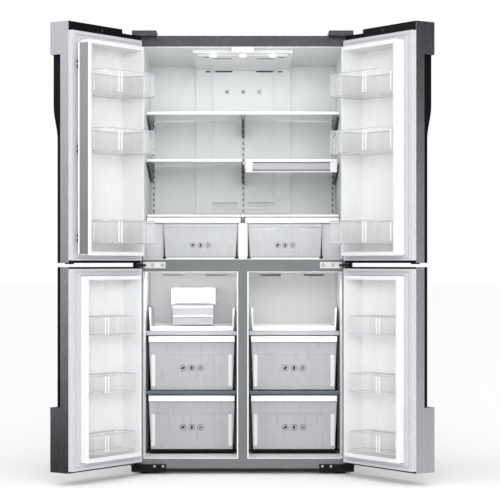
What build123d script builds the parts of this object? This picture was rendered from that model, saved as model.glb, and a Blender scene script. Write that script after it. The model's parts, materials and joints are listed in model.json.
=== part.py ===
from build123d import *
import os
from math import cos, radians, sin

# French door refrigerator, in millimetres. X to the right, Y to the back, Z up from the floor.
# It is modelled with its doors open at rest_angle, and the origin is under the middle of it.

os.makedirs("parts", exist_ok=True)

# ---- Cabinet ----
cabinet_w = 908.0        # over the side panels
case_depth = 620.0       # front flange to back panel
front_y = -91.0          # plane of the front flange
base_z = 23.5            # underside of the cabinet
panel_t = 1.0            # outer sheet
frame_t = 3.0            # front frame bars
liner_t = 2.5            # inner liners
side_wall = 45.0         # outer face to cavity
floor_wall = 42.5        # under the freezer
mid_wall = 55.0          # between freezer and fridge
top_wall = 49.0          # over the fridge, at the front
back_wall = 60.0         # behind the fridge
fridge_h = 874.0         # cavity height at the front
freezer_h = 768.0
ceiling_drop = 23.0      # the fridge ceiling slopes down to the back by this much
mullion_w = 38.0         # bar between the freezers
liner_lip = 5.0          # white lip of the freezer liners beside the mullion
engine_depth = 190.0     # machine compartment, from the back
engine_h = 207.0
fit = 0.2                # gap where one fixed piece stands beside another

half_w = cabinet_w / 2
back_y = front_y + case_depth
cavity_x = half_w - side_wall
freezer_in_x = mullion_w / 2 + liner_lip
freezer_z = base_z + floor_wall
freezer_top = freezer_z + freezer_h
fridge_z = freezer_top + mid_wall
fridge_top = fridge_z + fridge_h
cabinet_top = fridge_top + top_wall
fridge_back = back_y - back_wall
ceiling_back = fridge_top - ceiling_drop
foam_x = half_w - panel_t
engine_top = base_z + engine_h
engine_y = back_y - engine_depth

# ---- Hinges and screws ----
pin_r = 5.0
pin_fit = 0.05           # radial play of every pin that turns in a hole
pin_len = 20.0
nose_wall = 3.0          # steel round a top pin
boss_wall = 4.5          # plastic round the hole for a pin
boss_len = 25.0
boss_r = pin_r + boss_wall
nose_r = pin_r + nose_wall
plate_t = 4.0
screw_r = 2.5
screw_head_r = 5.0
screw_head_h = 2.5
screw_fit = 0.1
cover_t = 2.0            # wall of the hinge covers
cover_gap = 1.0          # nose of a top hinge to its cover
middle_plate_x = (half_w - 135.0, half_w - 43.0)
middle_screws_x = (half_w - 122.5, half_w - 81.0)

# ---- Doors, in the door's own u (along it), v (inwards) and z ----
rest_angle = 125.0       # opening of every door as modelled
pivot_in = pin_r + nose_wall + cover_t + cover_gap      # pivot axis, in from the cabinet side
pivot_out = 35.0         # and in front of the flange
door_t = 94.0            # skin to liner flange
gasket_t = 15.0
gasket_gap = 0.4         # left in front of the flange when shut
door_gap = 4.0           # between the two doors of a pair
skin_t = 1.2
upper_door_bottom = fridge_z - 17.0
upper_door_rise = 8.0    # top of an upper door over the cabinet top
lower_door_bottom = base_z + 24.5
lower_door_top = freezer_top + 22.0
hinge_step_u = 107.0     # the top of an upper door is lower up to here
hinge_step = 16.0
wall_gap = 4.0           # raised liner wall to the cavity side when shut
wall_w_hinge = 8.0       # raised liner walls
wall_w_free = 16.0
wall_free_in = 57.0      # raised wall, in from the free edge
wall_zgap = 12.0         # raised wall to the cavity floor and ceiling when shut
grip_depth = 52.0        # recess along the free edge, from the outer face
grip_w = 43.0
grip_w_narrow = 19.0
grip_lining = 2.0
bin_t = 2.5
bin_gap = 1.0

u_min = -pivot_in
u_max = half_w - pivot_in - door_gap / 2
v_in = pivot_out - gasket_t
v_out = v_in - door_t
pivot_x = half_w - pivot_in
pivot_y = front_y - pivot_out
wall_u0 = pivot_x - cavity_x + wall_gap
wall_u1 = u_max - wall_free_in
middle_plate_z = (lower_door_top - 6, upper_door_bottom + 4)

# ---- Flipper mullion, on the upper left door ----
flipper_u = u_max - 30.0     # its pivot
flipper_v = 45.0
flipper_w = 50.0
flipper_t = 18.0
flipper_reach = 7.0      # pivot to the near edge of the bar
flipper_plate_t = 1.5
flipper_pin_r = 2.5
flipper_top_gap = 28.0   # under the ceiling, clear of the guide block
flipper_play = 0.3       # above and below each knuckle
knuckle_shares = (0.08, 0.5, 0.9)
knuckle_r = 6.0
knuckle_h = 14.0
knuckle_half = 2.0


def block(x, y, z, mode=Mode.ADD):
    """A box between three (low, high) pairs, in the builder that is open."""
    with Locations(((x[0] + x[1]) / 2, (y[0] + y[1]) / 2, (z[0] + z[1]) / 2)):
        Box(x[1] - x[0], y[1] - y[0], z[1] - z[0], mode=mode)


def rod(x, y, z, radius, mode=Mode.ADD):
    """An upright cylinder from z[0] to z[1]."""
    with Locations((x, y, (z[0] + z[1]) / 2)):
        Cylinder(radius, z[1] - z[0], mode=mode)


def ceiling(y):
    """Height of the sloping fridge ceiling at depth y."""
    return fridge_top - ceiling_drop * (y - front_y) / (fridge_back - front_y)


def fridge_room(grow, front):
    """Side outline of the fridge cavity, grown by the liner, on the YZ plane."""
    with BuildSketch(Plane.YZ) as outline:
        with BuildLine():
            Polyline(
                (front, fridge_z - grow),
                (fridge_back + grow, fridge_z - grow),
                (fridge_back + grow, ceiling_back + grow),
                (front, ceiling(front) + grow),
                close=True,
            )
        make_face()
    return outline.sketch


def save(builder, name):
    """Labels a finished piece and writes it."""
    builder.part.label = name
    export_step(builder.part, f"parts/{name}.step")


def save_mirrored(builder, name):
    """Writes the right-hand twin of a left-hand piece."""
    with BuildPart() as twin:
        mirror(builder.part, about=Plane.YZ)
    save(twin, name)


# ---------------------------------------------------------------- cabinet shell
# Screws: (x, y, z, outward direction)
screw_len = plate_t + frame_t + 5.0
top_screws = ((30.0, 20.0), (70.0, 20.0), (50.0, 60.0))     # in from the side, back from the flange
bottom_screws_in = (125.0, 90.0)
bottom_screw_rise = 9.0
top_hinge_z = cabinet_top + plate_t
screws = []
for side in (-1, 1):
    for x in middle_screws_x:
        screws.append((side * x, front_y - plate_t, sum(middle_plate_z) / 2, (0, -1, 0)))
    for x, y in top_screws:
        screws.append((side * (half_w - x), front_y + y, top_hinge_z, (0, 0, 1)))
    for x in bottom_screws_in:
        screws.append((side * (half_w - x), front_y - plate_t, base_z + bottom_screw_rise, (0, -1, 0)))


def drill_screws(extra):
    """Takes the screw shanks, with extra play, out of the open part."""
    for x, y, z, out in screws:
        with BuildSketch(Plane((x, y, z), z_dir=out)) as shank:
            Circle(screw_r + extra)
        extrude(shank.sketch, amount=-screw_len, mode=Mode.SUBTRACT)


with BuildPart() as cabinet_panels:
    for side in (-1, 1):
        edges = sorted((side * half_w, side * foam_x))
        block(edges, (front_y, back_y), (base_z, cabinet_top))
    block((-foam_x, foam_x), (front_y, back_y), (cabinet_top - panel_t, cabinet_top))
    drill_screws(screw_fit)
save(cabinet_panels, "cabinet_panels")

bar_depth = (front_y, front_y + frame_t)
bar_out = cavity_x + liner_t + fit
with BuildPart() as front_frame:
    for side in (-1, 1):
        block(sorted((side * bar_out, side * foam_x)), bar_depth, (base_z, cabinet_top - panel_t))
    for z in (
        (base_z, freezer_z - liner_t - fit),
        (freezer_top + liner_t + fit, fridge_z - liner_t - fit),
        (fridge_top + liner_t + fit, cabinet_top - panel_t),
    ):
        block((-bar_out, bar_out), bar_depth, z)
    mullion_x = mullion_w / 2 - fit
    block((-mullion_x, mullion_x), bar_depth, (freezer_z - liner_t - fit, freezer_top + liner_t + fit))
    drill_screws(screw_fit)
save(front_frame, "front_frame")

# Foam, as the blocks that the liners and panels enclose
foam_y = (front_y + frame_t, back_y - panel_t)
foam_top = cabinet_top - panel_t
duct_depth = 55.0        # space for the evaporator, behind the freezer back covers
freezer_wall = 28.0      # behind the evaporator
freezer_back = back_y - freezer_wall
foot_x = half_w - 50.0
foot_y = front_y + 45.0
stud_r = 6.0
stud_top = 46.0
with BuildPart() as cabinet_foam:
    for side in (-1, 1):
        block(sorted((side * (cavity_x + liner_t), side * foam_x)), foam_y, (base_z, foam_top))
    inner = (-cavity_x - liner_t, cavity_x + liner_t)
    block(inner, (foam_y[0], fridge_back + liner_t), (fridge_z, foam_top))
    extrude(fridge_room(liner_t, front_y), amount=inner[1], both=True, mode=Mode.SUBTRACT)
    block(inner, (fridge_back + liner_t, foam_y[1]), (freezer_top + liner_t, foam_top))
    block(inner, (foam_y[0], fridge_back + liner_t), (freezer_top + liner_t, fridge_z - liner_t))
    block(inner, (freezer_back + liner_t, foam_y[1]), (engine_top, freezer_top + liner_t))
    spine = freezer_in_x - liner_t
    block((-spine, spine), (foam_y[0], freezer_back + liner_t), (freezer_z, freezer_top + liner_t))
    block(inner, (foam_y[0], engine_y), (base_z, freezer_z - liner_t))
    drill_screws(screw_fit)
    for side in (-1, 1):
        rod(side * foot_x, foot_y, (base_z, stud_top + 2), stud_r + fit, Mode.SUBTRACT)
    block((-half_w, half_w), (engine_y, back_y), (0, engine_top), Mode.SUBTRACT)
save(cabinet_foam, "cabinet_foam")

# ---------------------------------------------------------------- liners
step_wall = 20.0
step_h = engine_top + step_wall - freezer_z      # the freezer floor rises over the machine compartment
step_y = engine_y - step_wall

with BuildPart() as fridge_liner:
    extrude(fridge_room(liner_t, front_y), amount=cavity_x + liner_t, both=True)
    extrude(fridge_room(0, front_y), amount=cavity_x, both=True, mode=Mode.SUBTRACT)
save(fridge_liner, "fridge_liner")


def freezer_room(grow):
    """Side outline of a freezer cavity, stepped over the machine compartment."""
    with BuildSketch(Plane.YZ.offset(freezer_in_x - grow)) as outline:
        with BuildLine():
            Polyline(
                (front_y, freezer_z - grow),
                (step_y + grow, freezer_z - grow),
                (step_y + grow, freezer_z + step_h - grow),
                (freezer_back + grow, freezer_z + step_h - grow),
                (freezer_back + grow, freezer_top + grow),
                (front_y, freezer_top + grow),
                close=True,
            )
        make_face()
    return outline.sketch


freezer_w = cavity_x - freezer_in_x
with BuildPart() as freezer_liners:
    extrude(freezer_room(liner_t), amount=freezer_w + 2 * liner_t)
    edge_x = (mullion_w / 2, freezer_in_x)
    block(edge_x, bar_depth, (freezer_z - liner_t, freezer_top + liner_t))
    extrude(freezer_room(0), amount=freezer_w, mode=Mode.SUBTRACT)
    mirror(about=Plane.YZ)
save(freezer_liners, "freezer_liners")

# ---------------------------------------------------------------- air ducts, fan and cooling
duct_half = 209.0
duct_t = 12.0
duct_raise = 6.0
duct_raise_half = 138.0
duct_bottom = fridge_z + 201.0
duct_front = front_y + 70.0
top_vents_x = ((-166, -145), (-123, -48), (57, 134), (153, 174))
low_vents_x = ((-139, -23), (20, 136))
vent_cut = 8.0


def duct_outline(thick, bottom, front):
    """L-shaped outline up the back wall and forward along the ceiling."""
    with BuildSketch(Plane.YZ) as outline:
        with BuildLine():
            Polyline(
                (fridge_back, bottom),
                (fridge_back, ceiling_back),
                (front, ceiling(front)),
                (front, ceiling(front) - thick),
                (fridge_back - thick, ceiling(fridge_back - thick) - thick),
                (fridge_back - thick, bottom),
                close=True,
            )
        make_face()
    return outline.sketch


cover_y = freezer_back - duct_depth
cover_wall = 3.0
cover_slots_z = freezer_top - 16.0
cover_slot_half = 45.0
guide_x = (-45.0, 45.0)
guide_y = (front_y + 6, front_y + 62)
guide_h = 20.0
with BuildPart() as duct_covers:
    extrude(duct_outline(duct_t, duct_bottom, duct_front), amount=duct_half, both=True)
    raised = duct_outline(duct_t + duct_raise, duct_bottom + 20, duct_front + 60)
    extrude(raised, amount=duct_raise_half, both=True)
    duct_face = fridge_back - duct_t - duct_raise
    vent_y = (duct_face - 1, duct_face + vent_cut)
    for x in top_vents_x:
        block(x, vent_y, (ceiling_back - 24, ceiling_back - 18), Mode.SUBTRACT)
    for x in low_vents_x:
        block(x, vent_y, (duct_bottom + 30, duct_bottom + 50), Mode.SUBTRACT)
    for side in (-1, 1):
        back_x = sorted((side * (freezer_in_x + fit), side * (cavity_x - fit)))
        back_z = (freezer_z + step_h + fit, freezer_top - fit)
        block(back_x, (cover_y, cover_y + cover_wall), back_z)
        for middle in (-freezer_w / 4, freezer_w / 4):
            x_mid = side * (freezer_in_x + cavity_x) / 2 + middle
            slot_x = (x_mid - cover_slot_half, x_mid + cover_slot_half)
            slot_z = (cover_slots_z - 4, cover_slots_z + 4)
            block(slot_x, (cover_y - 1, cover_y + cover_wall + 1), slot_z, Mode.SUBTRACT)
    with BuildSketch(Plane.YZ) as guide:
        with BuildLine():
            Polyline(
                (guide_y[0], ceiling(guide_y[0])),
                (guide_y[1], ceiling(guide_y[1])),
                (guide_y[1], fridge_top - guide_h + 4),
                (guide_y[1] - 14, fridge_top - guide_h),
                (guide_y[0], fridge_top - guide_h),
                close=True,
            )
        make_face()
    extrude(guide.sketch, amount=guide_x[1], both=True)
save(duct_covers, "duct_covers")

lamp_half = 190.0
lamp_y = (duct_front + 22.0, duct_front + 58.0)
lamp_t = 9.0
lamp_slant = 8.0
with BuildPart() as ceiling_lamp:
    with BuildSketch(Plane.YZ) as lens:
        with BuildLine():
            Polyline(
                (lamp_y[0], ceiling(lamp_y[0]) - duct_t),
                (lamp_y[1], ceiling(lamp_y[1]) - duct_t),
                (lamp_y[1], ceiling(lamp_y[1]) - duct_t - lamp_t),
                (lamp_y[0] + lamp_slant, ceiling(lamp_y[0]) - duct_t - lamp_t),
                close=True,
            )
        make_face()
    extrude(lens.sketch, amount=lamp_half, both=True)
save(ceiling_lamp, "ceiling_lamp")

coil_x = (freezer_in_x + 36.0, cavity_x - 49.0)
coil_z = (freezer_z + 260.0, freezer_top - 168.0)
coil_y = (cover_y + 12, freezer_back - 8)
coil_rows = 9
tube_past = 8.0          # tubes past the fins
tube_r = 4.0
fin_count = 24
with BuildPart() as evaporator:
    fin_t = 1.0
    coil_mid = sum(coil_y) / 2
    row_gap = (coil_z[1] - coil_z[0]) / coil_rows
    for row in range(coil_rows):
        z = coil_z[0] + row_gap * (row + 0.5)
        with BuildSketch(Plane.YZ.offset(coil_x[0] - tube_past)) as tube:
            with Locations((coil_mid, z)):
                Circle(tube_r)
        extrude(tube.sketch, amount=coil_x[1] - coil_x[0] + 2 * tube_past)
    for fin in range(fin_count):
        x = coil_x[0] + (coil_x[1] - coil_x[0] - fin_t) * fin / (fin_count - 1)
        block((x, x + fin_t), coil_y, coil_z)
    mirror(about=Plane.YZ)
save(evaporator, "evaporator")

fan_x = -sum(coil_x) / 2
fan_z = coil_z[1] + 68.0
fan_r = 46.0
hub_r = 14.0
shaft_r = 3.0
blade_count = 5
blade_pitch = 35.0
blade_w = 18.0
blade_t = 1.6
motor_r = 24.0
fan_y = (cover_y + 8, cover_y + 24)
motor_y = (fan_y[1] + 3, freezer_back - 1)
with BuildPart() as fan_motor:
    with BuildSketch(Plane.XZ.offset(-motor_y[1])) as can:
        with Locations((fan_x, fan_z)):
            Circle(motor_r)
    extrude(can.sketch, amount=motor_y[1] - motor_y[0])
    with BuildSketch(Plane.XZ.offset(-motor_y[0])) as shaft:
        with Locations((fan_x, fan_z)):
            Circle(shaft_r)
    extrude(shaft.sketch, amount=motor_y[0] - fan_y[0] - 2)
save(fan_motor, "fan_motor")

with BuildPart() as evaporator_fan:
    with BuildSketch(Plane.XZ.offset(-fan_y[1])) as hub:
        with Locations((fan_x, fan_z)):
            Circle(hub_r)
            Circle(shaft_r + pin_fit, mode=Mode.SUBTRACT)
    extrude(hub.sketch, amount=fan_y[1] - fan_y[0])
    for blade in range(blade_count):
        turn = radians(360 / blade_count * blade)
        tilt = radians(blade_pitch)
        radial = (cos(turn), 0, sin(turn))
        normal = (-sin(turn) * sin(tilt), cos(tilt), cos(turn) * sin(tilt))
        middle = (hub_r - 2 + fan_r) / 2
        root = (fan_x + middle * cos(turn), sum(fan_y) / 2, fan_z + middle * sin(turn))
        with Locations(Plane(root, x_dir=radial, z_dir=normal)):
            Box(fan_r - hub_r + 2, blade_w, blade_t)
save(evaporator_fan, "evaporator_fan")

pan_z = (40.0, 42.0)
pan_half = half_w - 74.0
wheel_r = 22.0
wheel_w = 20.0
axle_r = 4.0
axle_y = back_y - 60.0
wheel_x = pan_half + 8.0
ear_t = 2.0
ear_half = 25.0
vent_count = 22
vent_w = 8.0
vent_z = (80.0, 190.0)
gland_x = half_w - 154.0
vents_x = (-half_w + 134.0, gland_x - 108.0)
gland_z = 120.0
gland_r = 11.0
gland_wall = 5.0
gland_len = 12.0
gland_out = 3.0          # it stands out of the back by this
with BuildPart() as rear_panels:
    sheet_y = (back_y - panel_t, back_y)
    block((-foam_x, foam_x), sheet_y, (engine_top, foam_top))
    block((-foam_x, foam_x), sheet_y, (pan_z[1], engine_top - fit))
    vent_gap = (vents_x[1] - vent_w - vents_x[0]) / (vent_count - 1)
    for vent in range(vent_count):
        x = vents_x[0] + vent_gap * vent
        block((x, x + vent_w), (sheet_y[0] - 1, sheet_y[1] + 1), vent_z, Mode.SUBTRACT)
    with BuildSketch(Plane.XZ.offset(-back_y - 1)) as gland_hole:
        with Locations((gland_x, gland_z)):
            Circle(gland_r)
    extrude(gland_hole.sketch, amount=panel_t + 2, mode=Mode.SUBTRACT)
    block((-pan_half, pan_half), (engine_y + 4, back_y), pan_z)
    for side in (-1, 1):
        ear_x = sorted((side * pan_half, side * (pan_half - ear_t)))
        block(ear_x, (axle_y - ear_half, axle_y + ear_half), (axle_r + 6, pan_z[0]))
    with BuildSketch(Plane.YZ) as axle_hole:
        with Locations((axle_y, wheel_r)):
            Circle(axle_r + pin_fit)
    extrude(axle_hole.sketch, amount=half_w, both=True, mode=Mode.SUBTRACT)
    with BuildSketch(Plane.XZ.offset(-back_y - gland_out)) as gland:
        with Locations((gland_x, gland_z)):
            Circle(gland_r - fit)
            Circle(gland_r - gland_wall, mode=Mode.SUBTRACT)
    extrude(gland.sketch, amount=gland_len)
save(rear_panels, "rear_panels")

with BuildPart() as rear_rollers:
    with BuildSketch(Plane.YZ) as axle:
        with Locations((axle_y, wheel_r)):
            Circle(axle_r)
    extrude(axle.sketch, amount=wheel_x + wheel_w + 2, both=True)
    with BuildSketch(Plane.YZ.offset(wheel_x)) as wheel:
        with Locations((axle_y, wheel_r)):
            Circle(wheel_r)
            Circle(axle_r, mode=Mode.SUBTRACT)
    wheels = extrude(wheel.sketch, amount=wheel_w)
    mirror(wheels, about=Plane.YZ)
save(rear_rollers, "rear_rollers")

shell_r = 72.0
shell_h = 125.0
shell_x = -half_w + 204.0
grommet_h = 10.0
grommet_r = 9.0
foot_plate = (170.0, 80.0, 4.0)
with BuildPart() as compressor:
    centre = (shell_x, (engine_y + back_y) / 2 + 4)
    low = pan_z[1] + grommet_h + foot_plate[2]
    rod(*centre, (low, low + shell_h), shell_r)
    fillet(compressor.edges().filter_by(GeomType.CIRCLE).sort_by(Axis.Z)[-1], shell_r / 2)
    fillet(compressor.edges().filter_by(GeomType.CIRCLE).sort_by(Axis.Z)[0], shell_r / 5)
    with Locations((*centre, low - foot_plate[2] / 2)):
        Box(*foot_plate)
        with GridLocations(foot_plate[0] - 24, foot_plate[1] - 24, 2, 2):
            with Locations((0, 0, -(foot_plate[2] + grommet_h) / 2)):
                Cylinder(grommet_r, grommet_h)
save(compressor, "compressor")

# ---------------------------------------------------------------- shelves of the fridge
shelf_front = front_y + 135.0
rail_t = 5.0
shelf_back = duct_face - rail_t - 1.0
shelf_half = cavity_x - 5.0
shelf_mid = 3.0
glass_t = 4.0
trim_d = 15.0
trim_h = 12.0
crisper_cover_z = fridge_z + 187.0
shelf_zone = ceiling_back - crisper_cover_z
upper_shelf_share, lower_shelf_share = 0.645, 0.346
upper_shelf_z = crisper_cover_z + upper_shelf_share * shelf_zone
lower_shelf_z = crisper_cover_z + lower_shelf_share * shelf_zone
shelf_rise = 4.0         # top of a trim over its glass
freezer_shelf_d = 330.0
freezer_front = front_y + 150.0

# Freezer stack, from the floor up: drawer, shelf, drawer, shelf, tray
drawer_share = 0.3315    # of the freezer's height, for each drawer and its shelf
shelf_bar_h = 17.5
shelf_gap = 3.0          # drawer top to shelf, and shelf to the next drawer
drawer_low_z = freezer_z + 21.0
level_h = drawer_share * freezer_h - shelf_bar_h / 2 + 4.5
drawer_h = level_h - shelf_bar_h - 2 * shelf_gap - 0.5
freezer_shelves_z = [drawer_low_z + drawer_h + shelf_gap + n * level_h for n in range(2)]

with BuildPart() as glass_shelves:
    halves = ((-shelf_half, -shelf_mid), (shelf_mid, shelf_half))
    glass_y = (shelf_front + trim_d, shelf_back)
    for x in halves:
        block(x, glass_y, (upper_shelf_z - glass_t, upper_shelf_z))
    block(halves[0], glass_y, (lower_shelf_z - glass_t, lower_shelf_z))
    block((-shelf_half, shelf_half), glass_y, (crisper_cover_z - 8, crisper_cover_z - 4))
    for z in freezer_shelves_z:
        for side in (-1, 1):
            x = sorted((side * (freezer_in_x + 2), side * (cavity_x - 2)))
            depth = (freezer_front + 12, freezer_front + freezer_shelf_d)
            block(x, depth, (z + shelf_bar_h - 5, z + shelf_bar_h - 1))
save(glass_shelves, "glass_shelves")

header_z = (crisper_cover_z - 36.0, crisper_cover_z - 13.0)
with BuildPart() as shelf_trims:
    trim_y = (shelf_front, shelf_front + trim_d)
    for x in halves:
        block(x, trim_y, (upper_shelf_z - trim_h + shelf_rise, upper_shelf_z + shelf_rise))
    block(halves[0], trim_y, (lower_shelf_z - trim_h + shelf_rise, lower_shelf_z + shelf_rise))
    block((-shelf_half, shelf_half), trim_y, (crisper_cover_z - 10, crisper_cover_z))
    for x in ((-shelf_half, -10), (10, shelf_half)):
        block(x, (shelf_front - 8, shelf_front + 10), header_z)
    for z in freezer_shelves_z:
        for side in (-1, 1):
            x = sorted((side * (freezer_in_x + 2), side * (cavity_x - 2)))
            block(x, (freezer_front, freezer_front + 12), (z, z + shelf_bar_h))
save(shelf_trims, "shelf_trims")

rail_z = (crisper_cover_z + 12, upper_shelf_z + 14)
rail_half = 9.0
slot_half = 2.2
slot_h = 13.0
slot_pitch = 25.0
rails = ((0.0, duct_face), (-cavity_x + 12, fridge_back), (cavity_x - 12, fridge_back))
with BuildPart() as ladder_rails:
    slots = int((rail_z[1] - rail_z[0]) / slot_pitch)
    for x, wall in rails:
        block((x - rail_half, x + rail_half), (wall - rail_t, wall), rail_z)
        for n in range(slots):
            z = rail_z[0] + slot_pitch * (n + 0.3)
            slot_x = (x - slot_half, x + slot_half)
            block(slot_x, (wall - rail_t - 1, wall - 1), (z, z + slot_h), Mode.SUBTRACT)
save(ladder_rails, "ladder_rails")

bracket_t = 4.0
bracket_drop = 72.0
slide_room = 12.0        # left over the lower right arms for the sliding shelf
bracket_reach = 50.0
side_arms = ((-cavity_x + 7, fridge_back), (cavity_x - 7 - bracket_t, fridge_back))
middle_arms = ((-1.5 - bracket_t, duct_face), (1.5, duct_face))
with BuildPart() as shelf_brackets:
    for x, wall in (*side_arms, *middle_arms):
        for shelf_z in (upper_shelf_z, lower_shelf_z):
            top = shelf_z - glass_t - fit
            if x > 0 and shelf_z == lower_shelf_z:
                top -= slide_room
            with BuildSketch(Plane.YZ.offset(x)) as web:
                with BuildLine():
                    Polyline(
                        (wall - rail_t, top),
                        (shelf_front + bracket_reach, top),
                        (shelf_front + bracket_reach, top - 10),
                        (wall - rail_t - 60, top - bracket_drop),
                        (wall - rail_t, top - bracket_drop),
                        close=True,
                    )
                make_face()
            extrude(web.sketch, amount=bracket_t)
save(shelf_brackets, "shelf_brackets")

slide_half = shelf_half - 8.0
slide_in = 12.0
slide_glass_z = (lower_shelf_z - glass_t, lower_shelf_z)
end_w = 28.0             # end blocks of the sliding shelf's bar
bar_z = (lower_shelf_z - 46.0, lower_shelf_z - 9.0)
bar_w = 20.0
with BuildPart() as sliding_shelf_glass:
    block((slide_in, slide_half), (shelf_front + trim_d, shelf_back - 8), slide_glass_z)
save(sliding_shelf_glass, "sliding_shelf_glass")

with BuildPart() as sliding_shelf_bar:
    block((slide_in, slide_half), (shelf_front, shelf_front + trim_d), (lower_shelf_z - 8, lower_shelf_z + 3))
    with BuildSketch(Plane.YZ.offset(slide_in + end_w)) as handle:
        with Locations((shelf_front + 12, sum(bar_z) / 2)):
            RectangleRounded(bar_w, bar_z[1] - bar_z[0], 9)
    extrude(handle.sketch, amount=slide_half - slide_in - 2 * end_w)
    for x in ((slide_in, slide_in + end_w), (slide_half - end_w, slide_half)):
        block(x, (shelf_front, shelf_front + bar_w + 6), (bar_z[0] - 6, lower_shelf_z - 8))
    between = (slide_in + end_w, slide_half - end_w)
    block(between, (shelf_front + 8, shelf_front + 14), (bar_z[0] - 6, bar_z[0] - 1))
save(sliding_shelf_bar, "sliding_shelf_bar")

# ---------------------------------------------------------------- drawers
drawer_wall = 3.0


def tub(x, y, z, draft, wall, end_h=None):
    """An open tub between the pairs, narrower at the bottom by draft on each side.
    end_h is the height of its front and back where they are lower than its sides."""
    middle = ((x[0] + x[1]) / 2, (y[0] + y[1]) / 2)
    size = (x[1] - x[0], y[1] - y[0])
    for inset, floor, mode in ((0, z[0], Mode.ADD), (wall, z[0] + wall, Mode.SUBTRACT)):
        lift = 1 if inset else 0
        with BuildSketch(Plane.XY.offset(floor)) as low:
            with Locations(middle):
                Rectangle(size[0] - 2 * (inset + draft), size[1] - 2 * (inset + draft / 2))
        with BuildSketch(Plane.XY.offset(z[1] + lift)) as high:
            with Locations(middle):
                Rectangle(size[0] - 2 * inset, size[1] - 2 * inset)
        loft([low.sketch.face(), high.sketch.face()], mode=mode)
    if end_h:
        notch_x = (x[0] + draft + wall, x[1] - draft - wall)
        for notch_y in ((y[0] - 1, y[0] + wall + draft), (y[1] - wall - draft, y[1] + 1)):
            block(notch_x, notch_y, (z[0] + end_h, z[1] + 1), Mode.SUBTRACT)


crisper_x = (22.0, cavity_x - 75.0)
crisper_z = (fridge_z + 8.0, crisper_cover_z - 39.0)
crisper_y = (front_y + 130.0, fridge_back - 40.0)
with BuildPart() as right_crisper:
    tub(crisper_x, crisper_y, crisper_z, 8, drawer_wall)
    lip_x = (crisper_x[0] + 4, crisper_x[1] - 4)
    block(lip_x, (crisper_y[0] - 7, crisper_y[0]), (crisper_z[1] - 13, crisper_z[1]))
save(right_crisper, "right_crisper")
save_mirrored(right_crisper, "left_crisper")

with BuildPart() as crisper_supports:
    divider_top = crisper_z[1] + 2
    post_y = (front_y + 128.0, fridge_back - 40.0)
    block((-crisper_x[0] + 4, crisper_x[0] - 4), post_y, (fridge_z, divider_top))
    for side in (-1, 1):
        x = sorted((side * (crisper_x[1] + 3), side * (cavity_x - fit)))
        block(x, (front_y + 150, fridge_back - 40), (fridge_z, divider_top))
save(crisper_supports, "crisper_supports")

drawer_x = (freezer_in_x + 10.5, cavity_x - 12.0)
drawer_grip_h = 24.0
drawer_depths = {"lower": step_y - freezer_front - 25, "upper": 330.0}
for number, (place, depth) in enumerate(drawer_depths.items()):
    z = drawer_low_z + number * level_h
    with BuildPart() as right_drawer:
        body_y = (freezer_front + 5, freezer_front + depth)
        tub(drawer_x, body_y, (z, z + drawer_h), 9, drawer_wall)
        grip_z = (z + drawer_h - drawer_grip_h, z + drawer_h)
        block(drawer_x, (freezer_front - 4, freezer_front + 5), grip_z)
    save(right_drawer, f"right_{place}_drawer")
    save_mirrored(right_drawer, f"left_{place}_drawer")

tray_z = freezer_shelves_z[1] + shelf_bar_h + 1.5
tray_h = 96.0
tray_lip = 20.0
tray_y = (freezer_front + 5, freezer_front + 330)
with BuildPart() as right_tray:
    tub(drawer_x, tray_y, (tray_z, tray_z + tray_h), 6, drawer_wall, tray_lip)
save(right_tray, "right_tray")
save_mirrored(right_tray, "left_tray")

maker_x = (-cavity_x + 106.0, -freezer_in_x - 94.0)
bucket_h = 83.0
bucket_z = (tray_z + tray_lip + 5, tray_z + tray_lip + 5 + bucket_h)
maker_z = (bucket_z[1] + 1.5, bucket_z[1] + 72)
with BuildPart() as ice_maker:
    block(maker_x, (freezer_front + 45, cover_y), maker_z)
    panel_x = (maker_x[0] + 12, maker_x[1] - 12)
    block(panel_x, (freezer_front + 36, freezer_front + 46), (maker_z[0] + 8, maker_z[1] - 10))
    fillet(ice_maker.edges().filter_by(Axis.Y).group_by(Axis.Z)[-1], 8)
save(ice_maker, "ice_maker")

with BuildPart() as ice_bucket:
    tub((maker_x[0] + 5, maker_x[1] - 5), (freezer_front + 10, freezer_front + 280), bucket_z, 4, 2.5)
save(ice_bucket, "ice_bucket")

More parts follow.
